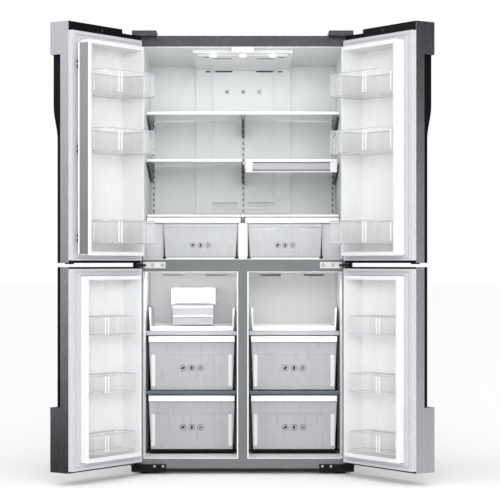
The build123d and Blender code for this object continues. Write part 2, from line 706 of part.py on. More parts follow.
# ---------------------------------------------------------------- hinges, covers, screws and feet
with BuildPart() as hinge_plates:
    # top: plate on the cabinet, nose over the door, pin down into the door
    top_z = (cabinet_top, top_hinge_z)
    block((-half_w + 8, -half_w + 92), (front_y, front_y + 80), top_z)
    block((-pivot_x - nose_r, -pivot_x + 44), (pivot_y, front_y), top_z)
    rod(-pivot_x, pivot_y, top_z, nose_r)
    rod(-pivot_x, pivot_y, (cabinet_top + upper_door_rise - hinge_step - pin_len, cabinet_top), pin_r)
    # middle: plate on the mid bar, arm between the doors, one pin up and one down
    plate_y = (front_y - plate_t, front_y)
    arm_z = (lower_door_top + 3, upper_door_bottom - 5)
    block((-middle_plate_x[1], -middle_plate_x[0]), plate_y, middle_plate_z)
    block((-pivot_x - 4, -middle_plate_x[1] + 12), (pivot_y - 6, pivot_y + 14), arm_z)
    block((-middle_plate_x[1] - 14, -middle_plate_x[1] + 12), (pivot_y - 6, front_y), arm_z)
    rod(-pivot_x, pivot_y, (lower_door_top - pin_len, upper_door_bottom + pin_len), pin_r)
    # bottom: plate under the cabinet, riser in front of it, ledge with the pin up
    foot_plate_z = (base_z - plate_t, base_z)
    ledge_z = (lower_door_bottom - 11, lower_door_bottom - 7)
    block((-half_w + 2, -half_w + 92), (front_y, front_y + 110), foot_plate_z)
    block((-half_w - 6, -half_w + 138), plate_y, (9, ledge_z[1]))
    block((-half_w - 6, -half_w + 40), (pivot_y - 14, front_y), ledge_z)
    rod(-pivot_x, pivot_y, (ledge_z[0], lower_door_bottom + pin_len), pin_r)
    rod(-foot_x, foot_y, (foot_plate_z[0] - 1, base_z + 1), stud_r, Mode.SUBTRACT)
    mirror(about=Plane.YZ)
    drill_screws(0)
save(hinge_plates, "hinge_plates")

with BuildPart() as hinge_screws:
    for x, y, z, out in screws:
        with BuildSketch(Plane((x, y, z), z_dir=out)) as head:
            Circle(screw_head_r)
        extrude(head.sketch, amount=screw_head_h)
        with BuildSketch(Plane((x, y, z), z_dir=out)) as shank:
            Circle(screw_r)
        extrude(shank.sketch, amount=-screw_len)
save(hinge_screws, "hinge_screws")

cover_x = (half_w - 100.0, half_w)
cover_rise = 13.0
cover_y_range = (pivot_y - 30, front_y + 120)
cover_z = (cabinet_top - 6, cabinet_top + cover_rise)
with BuildPart() as hinge_covers:
    block(cover_x, cover_y_range, cover_z)
    over_roof = (front_y - fit, cover_y_range[1] + 1)
    block(cover_x, over_roof, (cover_z[0] - 1, cabinet_top), Mode.SUBTRACT)
    hollow_x = (cover_x[0] + cover_t, cover_x[1] - cover_t)
    hollow_y = (cover_y_range[0] + cover_t, cover_y_range[1] - cover_t)
    block(hollow_x, hollow_y, (cover_z[0] - 1, cover_z[1] - cover_t), Mode.SUBTRACT)
    mirror(about=Plane.YZ)
save(hinge_covers, "hinge_covers")

foot_r = 23.5
foot_h = 12.0
with BuildPart() as levelling_feet:
    for side in (-1, 1):
        rod(side * foot_x, foot_y, (0, foot_h), foot_r)
        rod(side * foot_x, foot_y, (foot_h, stud_top), stud_r)
save(levelling_feet, "levelling_feet")

# ---------------------------------------------------------------- doors
swing = radians(rest_angle)
along = (cos(swing), -sin(swing), 0)
outward = (-sin(swing), -cos(swing), 0)
# Boxes in the door frame: x is u, y is v, z is z. Sketches on door_face: x is u, y is z.
door_frame = Plane((-pivot_x, pivot_y, 0), x_dir=along, z_dir=(0, 0, 1))
door_face = Plane((-pivot_x, pivot_y, 0), x_dir=along, z_dir=outward)


class Door:
    """Sizes of one door: its ends, raised inner walls, pocket, grip and bins."""

    def __init__(self, level):
        self.upper = level == "upper"
        if self.upper:
            self.z = (upper_door_bottom, cabinet_top + upper_door_rise)
            self.caps = (10.0, 36.0)
            self.wall_z = (fridge_z + wall_zgap, fridge_top - wall_zgap)
            self.wall_v = 78.0
            self.pocket_v = -30.0
            self.bins_v = 150.0
            self.bin_h = 95.0
            self.bin_starts = (0.055, 0.482, 0.752)
            self.bin_u = (wall_u0 + wall_w_hinge + bin_gap, wall_u1 - wall_w_free - bin_gap)
            self.grip_z = (self.z[0], self.z[1] - 129.0)
        else:
            self.z = (lower_door_bottom, lower_door_top)
            self.caps = (7.0, 7.0)
            self.wall_z = (freezer_z + wall_zgap + 7, freezer_top - wall_zgap - 1)
            self.wall_v = 64.0
            self.pocket_v = -25.0
            self.bins_v = 82.0
            self.bin_h = 78.0
            self.bin_starts = (0.043, 0.361, 0.677)
            self.bin_u = (wall_u0 + 52.0, wall_u1 - wall_w_free - bin_gap)
            self.grip_z = (self.z[0] + 256.0, self.z[1])
        height = self.wall_z[1] - self.wall_z[0]
        self.bin_z = [self.wall_z[0] + height * start for start in self.bin_starts]


def grip_outline(door, grow):
    """The grip recess seen along v, grown by the lining: wide, then narrower through an S."""
    wide = u_max - grip_w - grow
    narrow = u_max - grip_w_narrow - grow
    low, high = door.grip_z
    past = u_max + 1
    with BuildSketch(door_face.offset(-(v_out + grip_depth + grow))) as outline:
        with BuildLine():
            if door.upper:
                s_low, s_high = high - 334, high - 196
                Line((past, low - 1), (wide, low - 1))
                Line((wide, low - 1), (wide, s_low))
                Spline((wide, s_low), (narrow, s_high), tangents=[(0, 1), (0, 1)])
                Line((narrow, s_high), (narrow, high + grow))
                Line((narrow, high + grow), (past, high + grow))
                Line((past, high + grow), (past, low - 1))
            else:
                ends = (low - grow, high + 1)
                Polyline((past, ends[0]), (wide, ends[0]), (wide, ends[1]), (past, ends[1]), close=True)
        make_face()
    return outline.sketch


def cut_hinge_step(door):
    """Lowers the top of an upper door over the hinge."""
    if door.upper:
        top = door.z[1]
        block((u_min - 1, hinge_step_u), (v_out - 1, v_in + 1), (top - hinge_step, top + 1), Mode.SUBTRACT)


def raised_walls(door, grow, mode=Mode.ADD):
    """Outer shape of the raised inner walls, grown outwards by grow."""
    u = (wall_u0 - grow, wall_u1 + grow)
    z = (door.wall_z[0] - grow, door.wall_z[1] + grow)
    block(u, (v_in - liner_t, door.wall_v + grow), z, mode)


def pocket(door, grow):
    """Takes out the room between the raised walls, grown by grow."""
    u = (wall_u0 + wall_w_hinge - grow, wall_u1 - wall_w_free + grow)
    z = (door.wall_z[0] + wall_w_free - grow, door.wall_z[1] - wall_w_free + grow)
    block(u, (door.pocket_v - grow, door.wall_v + 50), z, Mode.SUBTRACT)


def pin_places(door):
    """Ends of the door that a hinge pin enters: (face height, direction into the door)."""
    top = door.z[1] - hinge_step if door.upper else door.z[1]
    return ((door.z[0], 1), (top, -1))


def cut_bosses(door):
    """Room for the bosses that hold the hinge pins."""
    for z, into in pin_places(door):
        rod(0, 0, sorted((z, z + into * boss_len)), boss_r, Mode.SUBTRACT)


def make_door(level):
    door = Door(level)
    low_cap, high_cap = door.caps
    z0, z1 = door.z
    skin_in = (u_min + skin_t, u_max - skin_t)

    with BuildPart(door_frame) as skin:
        block((u_min, u_max), (v_out, v_in), (z0, z1))
        block(skin_in, (v_out + skin_t, v_in + 1), (z0 - 1, z1 + 1), Mode.SUBTRACT)
        extrude(grip_outline(door, 0), amount=grip_depth + 1, mode=Mode.SUBTRACT)
        cut_hinge_step(door)

    with BuildPart(door_frame) as foam:
        block(skin_in, (v_out + skin_t, v_in - liner_t), (z0 + low_cap, z1 - high_cap))
        raised_walls(door, -liner_t)
        pocket(door, liner_t)
        extrude(grip_outline(door, grip_lining), amount=grip_depth + 9, mode=Mode.SUBTRACT)
        cut_bosses(door)

    with BuildPart(door_frame) as liner_block:
        raised_walls(door, 0)
        block(skin_in, (v_in - liner_t, v_in), (z0 + low_cap, z1 - high_cap))
        pocket_u = (wall_u0 + wall_w_hinge - liner_t, wall_u1 - wall_w_free + liner_t)
        pocket_z = (door.wall_z[0] + wall_w_free - liner_t, door.wall_z[1] - wall_w_free + liner_t)
        block(pocket_u, (door.pocket_v - liner_t, v_in), pocket_z)
        pocket(door, 0)
        cut_bosses(door)
    with BuildPart() as liner:
        add(liner_block.part)
        add(foam.part, mode=Mode.SUBTRACT)

    with BuildPart(door_frame) as caps:
        for z in ((z0, z0 + low_cap), (z1 - high_cap, z1)):
            block(skin_in, (v_out + skin_t, v_in), z)
        extrude(grip_outline(door, 0), amount=grip_depth + 1, mode=Mode.SUBTRACT)
        cut_hinge_step(door)
        for z, into in pin_places(door):
            rod(0, 0, sorted((z, z + into * boss_len)), boss_r)
            rod(0, 0, sorted((z - into, z + into * (pin_len + 1))), pin_r + pin_fit, Mode.SUBTRACT)
    with BuildPart(door_frame) as lining:
        extrude(grip_outline(door, grip_lining), amount=grip_depth + grip_lining)
        extrude(grip_outline(door, 0), amount=grip_depth + 1, mode=Mode.SUBTRACT)
        block((0, u_max - skin_t), (v_out + skin_t, v_in), (z0 + low_cap, z1 - high_cap), Mode.INTERSECT)
    with BuildPart() as trim:
        add(caps.part)
        add(lining.part)

    return door, skin, foam, liner, trim


def make_gasket(door):
    """Ring between the door's flange and the cabinet, with a groove along its middle."""
    low_cap, high_cap = door.caps
    outer_u = (-4.0, u_max - 5)
    outer_z = (door.z[0] + low_cap, door.z[1] - high_cap)
    inner_u = (wall_u0 - 1, wall_u1 + 1)
    inner_z = (door.wall_z[0] - 1, door.wall_z[1] + 1)
    v = (v_in, pivot_out - gasket_gap)
    depth = (v[1] - 4, v[1] + 1)
    groove = 2.5
    groove_u = [(a + b) / 2 for a, b in zip(outer_u, inner_u)]
    groove_z = [(a + b) / 2 for a, b in zip(outer_z, inner_z)]
    with BuildPart(door_frame) as ring:
        cut_u = (groove_u[0] - groove, groove_u[1] + groove)
        block(cut_u, depth, (groove_z[0] - groove, groove_z[1] + groove))
        kept_u = (groove_u[0] + groove, groove_u[1] - groove)
        kept_z = (groove_z[0] + groove, groove_z[1] - groove)
        block(kept_u, (depth[0] - 1, depth[1] + 1), kept_z, Mode.SUBTRACT)
    with BuildPart(door_frame) as seal:
        block(outer_u, v, outer_z)
        block(inner_u, (v[0] - 1, v[1] + 1), inner_z, Mode.SUBTRACT)
    with BuildPart() as gasket:
        add(seal.part)
        add(ring.part, mode=Mode.SUBTRACT)
    return gasket


def make_bins(door):
    """The lift-out bins of a door: open tubs with rounded front corners."""
    u = door.bin_u
    v = (door.pocket_v + 3, door.bins_v)
    with BuildPart(door_frame) as bins:
        for z in door.bin_z:
            for inset, floor, mode in ((0, 0, Mode.ADD), (bin_t, bin_t, Mode.SUBTRACT)):
                with BuildSketch(door_frame.offset(z + floor)) as outline:
                    with Locations(((u[0] + u[1]) / 2, (v[0] + v[1]) / 2)):
                        RectangleRounded(u[1] - u[0] - 2 * inset, v[1] - v[0] - 2 * inset, 16 - inset)
                extrude(outline.sketch, amount=door.bin_h - floor + inset, mode=mode)
    return bins


flipper_z = (fridge_z + wall_zgap + 4, fridge_top - flipper_top_gap)
knuckle_at = [flipper_z[0] + (flipper_z[1] - flipper_z[0]) * share for share in knuckle_shares]
arm_half = 4.0           # of the arms that hold the flipper's pins


def make_flipper_brackets():
    """Brackets from the raised wall to the flipper's pivot, each with its pin."""
    with BuildPart(door_frame) as brackets:
        for z in knuckle_at:
            for low in (z - knuckle_half - knuckle_h, z + knuckle_half):
                arm_z = (low, low + knuckle_h - knuckle_half)
                block((wall_u1, flipper_u - 3), (flipper_v - arm_half, flipper_v + arm_half), arm_z)
                rod(flipper_u, flipper_v, arm_z, knuckle_r - 1)
            rod(flipper_u, flipper_v, (z - knuckle_half - knuckle_h, z + knuckle_h), flipper_pin_r)
    return brackets


def make_flipper():
    """The flipper folded in: a bar that stands off the door, and the steel face on it."""
    bar_u = (flipper_u - flipper_t / 2, flipper_u + flipper_t / 2)
    bar_v = (flipper_v + flipper_reach, flipper_v + flipper_reach + flipper_w)
    face_u = bar_u[1] - flipper_plate_t
    with BuildPart(door_frame) as bar:
        block((bar_u[0], face_u), bar_v, flipper_z)
        for z in knuckle_at:
            low, high = z - knuckle_half + flipper_play, z + knuckle_half - flipper_play
            block((flipper_u - 3, flipper_u + 3), (flipper_v, bar_v[0]), (low, high))
            rod(flipper_u, flipper_v, (low, high), knuckle_r)
            rod(flipper_u, flipper_v, (low - 1, high + 1), flipper_pin_r + pin_fit, Mode.SUBTRACT)
    with BuildPart(door_frame) as plate:
        block((face_u, bar_u[1]), (bar_v[0] + 1, bar_v[1] - 1), (flipper_z[0] + 2, flipper_z[1] - 2))
    save(bar, "flipper_bar")
    save(plate, "flipper_plate")


for level in ("upper", "lower"):
    door, skin, foam, liner, trim = make_door(level)
    gasket = make_gasket(door)
    bins = make_bins(door)
    pieces = {"skin": skin, "foam": foam, "liner": liner, "gasket": gasket, "trim": trim, "bins": bins}
    for piece, builder in pieces.items():
        save_mirrored(builder, f"{level}_right_door_{piece}")
        if level == "upper" and piece == "trim":
            brackets = make_flipper_brackets()
            with BuildPart() as builder:
                add(trim.part)
                add(brackets.part)
        save(builder, f"{level}_left_door_{piece}")
make_flipper()
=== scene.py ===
import json
import math

import bmesh
import bpy
from mathutils import Matrix, Vector

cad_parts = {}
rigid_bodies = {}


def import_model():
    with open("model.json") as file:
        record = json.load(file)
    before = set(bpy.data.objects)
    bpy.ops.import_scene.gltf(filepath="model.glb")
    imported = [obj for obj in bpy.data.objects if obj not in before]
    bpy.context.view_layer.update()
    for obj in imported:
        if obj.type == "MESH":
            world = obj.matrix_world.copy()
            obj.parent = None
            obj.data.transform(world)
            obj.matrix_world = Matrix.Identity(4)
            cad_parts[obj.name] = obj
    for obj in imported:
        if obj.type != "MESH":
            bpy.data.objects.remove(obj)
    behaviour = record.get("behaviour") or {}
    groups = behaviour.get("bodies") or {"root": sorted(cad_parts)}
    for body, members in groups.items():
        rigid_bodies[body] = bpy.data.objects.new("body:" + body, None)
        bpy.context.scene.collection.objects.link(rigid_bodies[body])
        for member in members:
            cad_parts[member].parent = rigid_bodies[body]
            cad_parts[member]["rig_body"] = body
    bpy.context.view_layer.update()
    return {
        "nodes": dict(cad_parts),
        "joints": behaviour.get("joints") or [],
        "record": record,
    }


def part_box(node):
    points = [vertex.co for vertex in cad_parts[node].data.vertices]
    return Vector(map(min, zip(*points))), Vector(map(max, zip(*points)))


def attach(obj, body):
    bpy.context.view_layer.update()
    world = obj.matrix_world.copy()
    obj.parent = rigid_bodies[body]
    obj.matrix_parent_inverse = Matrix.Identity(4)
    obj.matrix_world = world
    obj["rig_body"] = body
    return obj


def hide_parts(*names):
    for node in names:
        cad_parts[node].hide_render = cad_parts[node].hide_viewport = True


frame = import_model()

NODES = frame["nodes"]
SLOTS = {s["node"]: s["material_slot"] for s in frame["record"]["subparts"]}
PIVOTS = {j["child"]: Vector(j["pos_m"]) for j in frame["joints"] if j["name"].endswith("door_swing")}
SIDES = ("left", "right")
LEVELS = ("upper", "lower")
DOORS = [f"{level}_{side}_door" for level in LEVELS for side in SIDES]
REST_ANGLE = math.radians(125)          # opening of every door as modelled
SHARP_ANGLE = math.radians(30)          # an unrounded piece's edges are sharp from here
ROUND_ANGLE = math.radians(35)          # a rounded piece's edges are rounded from here
SAME_POINT = 2e-6                       # doubled points this close are joined
SLIVER = 2e-5                           # faces and edges this small go before a rounding
SPIKE = 0.0003                          # how far a rounding may stand out of its CAD node's box
NARROWER = (1.0, 0.7, 0.5, 0.35, 0.2, 0.1)      # shares of a rounding that are tried in turn
FLOOR_SIZE = 60.0
CARD_X, CARD_Y, CARD_Z = 2.6, (-6.0, 2.5), (-3.0, 5.0)      # where the reflector cards stand
CARD_FADE = (-0.1, 2.0)                 # heights between which a card's strength changes


# ---------------------------------------------------------------- places
def door_matrix(body):
    """Places a piece drawn in a door's own u (along), v (inwards), z frame, in metres."""
    mirror = -1 if "right" in body else 1
    pivot = PIVOTS[body]
    along = Vector((mirror * math.cos(REST_ANGLE), -math.sin(REST_ANGLE), 0))
    inward = Vector((mirror * math.sin(REST_ANGLE), math.cos(REST_ANGLE), 0))
    m = Matrix.Identity(4)
    m.col[0][:3] = along
    m.col[1][:3] = inward
    m.col[3][:3] = (pivot.x, pivot.y, 0)
    return m


def box_of(points):
    """Lowest and highest corner of some points."""
    low = Vector([min(p[k] for p in points) for k in range(3)])
    high = Vector([max(p[k] for p in points) for k in range(3)])
    return low, high


def in_door(body, node):
    """Lowest and highest corner of a node in its door's frame."""
    inverse = door_matrix(body).inverted()
    return box_of([inverse @ v.co for v in NODES[node].data.vertices])


def side_span(node):
    """Which side of the middle a node is on, and how far out its inner and outer faces are."""
    low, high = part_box(node)
    inner, outer = sorted((abs(low.x), abs(high.x)))
    return (1 if low.x > 0 else -1), inner, outer


# ---------------------------------------------------------------- materials
def start_material(name, color, rough, metallic=0.0):
    """A new material with its principled shader set; returns the material, its tree and the shader."""
    made = bpy.data.materials.new(name)
    made.use_nodes = True
    shader = made.node_tree.nodes["Principled BSDF"]
    shader.inputs["Base Color"].default_value = (*color, 1)
    shader.inputs["Roughness"].default_value = rough
    shader.inputs["Metallic"].default_value = metallic
    return made, made.node_tree, shader


def add_noise(tree, scale, stretch=(1, 1, 1), detail=4.0):
    """Noise on the piece's own coordinates, stretched along an axis; returns its factor output."""
    place = tree.nodes.new("ShaderNodeTexCoord")
    mapping = tree.nodes.new("ShaderNodeMapping")
    mapping.inputs["Scale"].default_value = stretch
    texture = tree.nodes.new("ShaderNodeTexNoise")
    texture.inputs["Scale"].default_value = scale
    texture.inputs["Detail"].default_value = detail
    tree.links.new(place.outputs["Object"], mapping.inputs["Vector"])
    tree.links.new(mapping.outputs["Vector"], texture.inputs["Vector"])
    return texture.outputs["Fac"]


def spread(tree, factor, low, high, ends=(0.3, 0.7)):
    """Maps a factor to a range."""
    node = tree.nodes.new("ShaderNodeMapRange")
    for name, value in zip(("From Min", "From Max", "To Min", "To Max"), (*ends, low, high)):
        node.inputs[name].default_value = value
    tree.links.new(factor, node.inputs["Value"])
    return node.outputs["Result"]


def blend_colors(tree, factor, a, b):
    """A colour between a and b; either may be a colour or an output."""
    node = tree.nodes.new("ShaderNodeMix")
    node.data_type = "RGBA"
    tree.links.new(factor, node.inputs["Factor"])
    for socket, value in ((node.inputs["A"], a), (node.inputs["B"], b)):
        if isinstance(value, tuple):
            socket.default_value = (*value, 1)
        else:
            tree.links.new(value, socket)
    return node.outputs["Result"]


def add_bump(tree, shader, factor, distance, strength):
    """Gives a shader a relief from a factor, as deep as the distance in metres."""
    node = tree.nodes.new("ShaderNodeBump")
    node.inputs["Distance"].default_value = distance
    node.inputs["Strength"].default_value = strength
    tree.links.new(factor, node.inputs["Height"])
    tree.links.new(node.outputs["Normal"], shader.inputs["Normal"])


def moulded(name, color, rough, grain=900, depth=0.00006, change=0.05, metallic=0.0, shine=0.5):
    """Moulded plastic, rubber or paint: faint mottling, uneven gloss and a fine grain."""
    made, tree, shader = start_material(name, color, rough, metallic)
    shader.inputs["Specular IOR Level"].default_value = shine
    cloud = add_noise(tree, 6, detail=3)
    darker = tuple(c * (1 - change) for c in color)
    tree.links.new(blend_colors(tree, cloud, darker, color), shader.inputs["Base Color"])
    patches = add_noise(tree, 35, detail=5)
    tree.links.new(spread(tree, patches, rough * 0.8, rough * 1.25), shader.inputs["Roughness"])
    add_bump(tree, shader, add_noise(tree, grain, detail=2), depth, 0.5)
    return made


def brushed(name, light, dark, rough, stretch=(1, 1, 0.012), metallic=1.0):
    """Brushed metal with its hairlines along the axis that is stretched."""
    made, tree, shader = start_material(name, light, rough, metallic)
    lines = add_noise(tree, 900, stretch, detail=6)
    tree.links.new(blend_colors(tree, spread(tree, lines, 0, 1), dark, light), shader.inputs["Base Color"])
    smudge = add_noise(tree, 5, detail=6)
    both = tree.nodes.new("ShaderNodeMath")
    both.operation = "MULTIPLY"
    tree.links.new(spread(tree, lines, rough * 0.85, rough * 1.15), both.inputs[0])
    tree.links.new(spread(tree, smudge, 0.97, 1.04), both.inputs[1])
    tree.links.new(both.outputs[0], shader.inputs["Roughness"])
    shader.inputs["Anisotropic"].default_value = 0.35
    add_bump(tree, shader, lines, 0.00003, 0.35)
    return made


def clear(name, color, alpha_face, alpha_edge, rough):
    """Thin clear plastic or glass: see-through face on, whiter towards grazing angles."""
    made, tree, shader = start_material(name, color, rough)
    facing = tree.nodes.new("ShaderNodeLayerWeight")
    facing.inputs["Blend"].default_value = 0.35
    film = spread(tree, facing.outputs["Facing"], alpha_face, alpha_edge, (0.0, 1.0))
    tree.links.new(film, shader.inputs["Alpha"])
    streaks = add_noise(tree, 60, (1, 1, 0.2), detail=4)
    tree.links.new(spread(tree, streaks, rough * 0.7, rough * 1.5), shader.inputs["Roughness"])
    pale = tuple(min(1, c * 1.08) for c in color)
    tree.links.new(blend_colors(tree, streaks, color, pale), shader.inputs["Base Color"])
    add_bump(tree, shader, add_noise(tree, 25, detail=2), 0.0002, 0.4)
    return made


def glowing(name, color, strength):
    """A lens that gives off light, a little unevenly."""
    made, tree, shader = start_material(name, color, 0.4)
    shader.inputs["Emission Color"].default_value = (*color, 1)
    cells = add_noise(tree, 300, detail=1)
    tree.links.new(spread(tree, cells, strength * 0.85, strength * 1.15), shader.inputs["Emission Strength"])
    return made


def frame_paint():
    """Grey coated steel of the front frame, with painted shade making it darker towards the top."""
    made, tree, shader = start_material("frame_paint", (0.2, 0.205, 0.21), 0.5, 0.15)
    place = tree.nodes.new("ShaderNodeTexCoord")
    split = tree.nodes.new("ShaderNodeSeparateXYZ")
    tree.links.new(place.outputs["Object"], split.inputs["Vector"])
    # painted shade: the base colour darkens with height, standing in for the shade on the top bar
    height = spread(tree, split.outputs["Z"], 0, 1, (0.9, 1.8))
    color = blend_colors(tree, height, (0.150, 0.158, 0.162), (0.040, 0.042, 0.050))
    mottle = blend_colors(tree, add_noise(tree, 12), (0.9, 0.9, 0.9), (1.0, 1.0, 1.0))
    product = tree.nodes.new("ShaderNodeMix")
    product.data_type = "RGBA"
    product.blend_type = "MULTIPLY"
    product.inputs["Factor"].default_value = 1.0
    tree.links.new(color, product.inputs["A"])
    tree.links.new(mottle, product.inputs["B"])
    tree.links.new(product.outputs["Result"], shader.inputs["Base Color"])
    tree.links.new(spread(tree, add_noise(tree, 40), 0.45, 0.58), shader.inputs["Roughness"])
    add_bump(tree, shader, add_noise(tree, 700, detail=2), 0.00004, 0.5)
    return made


STEEL = brushed("brushed_steel", (0.75, 0.75, 0.81), (0.68, 0.68, 0.74), 0.28)
SIDE_STEEL = brushed("side_steel", (0.40, 0.40, 0.43), (0.34, 0.34, 0.37), 0.36)
FLIPPER_STEEL = brushed("flipper_steel", (0.52, 0.52, 0.53), (0.42, 0.42, 0.43), 0.42)
FRAME_PAINT_WITH_TOP_SHADE = frame_paint()
GALVANISED = moulded("galvanised_sheet", (0.42, 0.44, 0.46), 0.45, 60, 0.0001, 0.25, 0.8)
WHITE = moulded("white_liner", (0.80, 0.805, 0.81), 0.38)
BRIGHT_WHITE = moulded("bright_white_plastic", (0.88, 0.885, 0.89), 0.3)
RUBBER = moulded("gasket_rubber", (0.55, 0.555, 0.58), 0.75, 400, 0.00005, 0.05, shine=0.2)
BLACK = moulded("black_plastic", (0.006, 0.006, 0.007), 0.5, 1100, 0.0001, 0.3, shine=0.12)
DARK_GREY = moulded("dark_grey_plastic", (0.06, 0.061, 0.067), 0.5, 1100, 0.00008, 0.2, shine=0.2)
CLEAR = clear("clear_plastic", (0.78, 0.79, 0.805), 0.07, 0.42, 0.15)
EDGE = clear("clear_plastic_edge", (0.60, 0.61, 0.63), 0.42, 0.7, 0.2)
# near-white ribs and bands on clear plastic; on the door bins' ribs the white is a painted highlight
RIB_WHITE_AND_HIGHLIGHT = clear("clear_plastic_rib_and_highlight", (0.97, 0.97, 0.98), 0.7, 0.9, 0.15)
BUCKET = clear("ice_bucket_plastic", (0.60, 0.61, 0.63), 0.45, 0.8, 0.2)
FROSTED = clear("frosted_drawer_plastic", (0.50, 0.505, 0.52), 0.74, 0.95, 0.3)
CRISPER = clear("clear_crisper_plastic", (0.74, 0.75, 0.765), 0.52, 0.85, 0.2)
SMOKED = moulded("smoked_shelf_edge", (0.09, 0.105, 0.13), 0.3)
SIDE_GREY = moulded("grey_side_cover", (0.60, 0.605, 0.62), 0.35)
PALE_GREY = moulded("pale_grey_plastic", (0.40, 0.405, 0.42), 0.35)
DUCT_WHITE = moulded("duct_cover_plastic", (0.88, 0.885, 0.89), 0.5, 900, 0.00002, 0.02, shine=0.25)
TRAY_WHITE = moulded("tray_plastic", (0.80, 0.805, 0.82), 0.35)
GLASS = clear("shelf_glass", (0.72, 0.80, 0.79), 0.22, 0.7, 0.05)
RAIL = moulded("rail_enamel", (0.72, 0.73, 0.74), 0.35, change=0.08)
BRACKET = moulded("bracket_enamel", (0.09, 0.10, 0.105), 0.4, change=0.2)
SILVER = brushed("satin_aluminium", (0.42, 0.425, 0.44), (0.34, 0.345, 0.36), 0.5, (0.012, 1, 1), 0.3)
HINGE_STEEL = moulded("zinc_plated_steel", (0.52, 0.525, 0.53), 0.4, 200, 0.00005, 0.12, 0.5)
MACHINE = moulded("machine_enamel", (0.02, 0.02, 0.023), 0.3, 300, 0.00006, 0.3)
LAMP = glowing("lamp_lens", (0.72, 0.73, 0.73), 0.04)
LED = glowing("led_spot", (1.0, 1.0, 0.98), 2.5)
INK = moulded("printed_grey_ink", (0.05, 0.05, 0.055), 0.6)
# painted shade: a near-black for slots, gaps and recesses, standing in for the shade inside them
SLOT_SHADE = moulded("shadowed_slot", (0.015, 0.016, 0.017), 0.8)
FOAM = moulded("pale_foam", (0.72, 0.62, 0.38), 0.9, 120, 0.0004, 0.25)


# ---------------------------------------------------------------- meshes
def finish_piece(name, mesh, materials, body, slot, nodes=()):
    """Links a mesh as a piece that rides on a body."""
    piece = bpy.data.objects.new(name, mesh)
    bpy.context.scene.collection.objects.link(piece)
    for m in materials:
        mesh.materials.append(m)
    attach(piece, body)
    if nodes:
        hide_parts(*nodes)
    return piece


def soften(piece, width, segments=2):
    """Rounds a piece's sharp edges with real geometry and keeps its flats flat."""
    rounding = piece.modifiers.new("rounding", "BEVEL")
    rounding.width = width
    rounding.segments = segments
    rounding.limit_method = "ANGLE"
    rounding.angle_limit = ROUND_ANGLE
    rounding.use_clamp_overlap = False
    flats = piece.modifiers.new("flats", "WEIGHTED_NORMAL")
    flats.weight = 100
    return piece


def start_shape(node):
    """A bmesh of a CAD node with its doubled points joined."""
    shape = bmesh.new()
    shape.from_mesh(NODES[node].data)
    bmesh.ops.remove_doubles(shape, verts=shape.verts, dist=SAME_POINT)
    return shape


def solids(shape):
    """The faces of each separate solid in a bmesh, and the corners of its box."""
    left = set(shape.faces)
    while left:
        found, queue = set(), [left.pop()]
        while queue:
            face = queue.pop()
            found.add(face)
            for edge in face.edges:
                for other in edge.link_faces:
                    if other in left:
                        left.remove(other)
                        queue.append(other)
        yield (found, *box_of([v.co for f in found for v in f.verts]))


def solid_boxes(node):
    """The corners of the box of each solid in a CAD node."""
    shape = start_shape(node)
    boxes = [(low, high) for _, low, high in solids(shape)]
    shape.free()
    return boxes


def dress(node, material, width=0.0, segments=2, pick=None, face_pick=None, extra=()):
    """Stands for a CAD node: the same shape, with its edges rounded where a width is given. pick chooses
    a solid's material from the middle and size of its box, and face_pick a face's from its middle, as an
    index into (material, *extra)."""
    shape = start_shape(node)
    if width:
        bmesh.ops.dissolve_degenerate(shape, dist=SLIVER, edges=shape.edges)
    for edge in shape.edges:
        edge.smooth = bool(width) or edge.calc_face_angle(math.pi) < SHARP_ANGLE
    for face in shape.faces:
        face.smooth = True
        face.material_index = face_pick(face.calc_center_median()) if face_pick else 0
    if pick:
        for faces, low, high in solids(shape):
            index = pick((low + high) / 2, high - low)
            for face in faces:
                face.material_index = index
    name = node + "_finished"
    mesh = bpy.data.meshes.new(name)
    shape.to_mesh(mesh)
    shape.free()
    piece = finish_piece(name, mesh, (material, *extra), NODES[node]["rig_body"], SLOTS[node], (node,))
    if width:
        soften(piece, width, segments)
        keep_inside(piece, *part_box(node))
    return piece


def keep_inside(piece, low, high):
    """Narrows a rounding until it throws no spike out of the box of its CAD node, or takes it off."""
    rounding = piece.modifiers["rounding"]
    full = rounding.width
    for share in NARROWER:
        rounding.width = full * share
        rounded = piece.evaluated_get(bpy.context.evaluated_depsgraph_get())
        points = [v.co.copy() for v in rounded.to_mesh().vertices]
        rounded.to_mesh_clear()
        if all(low[k] - SPIKE < p[k] < high[k] + SPIKE for p in points for k in range(3)):
            return
    piece.modifiers.clear()
    piece.data.set_sharp_from_angle(angle=SHARP_ANGLE)


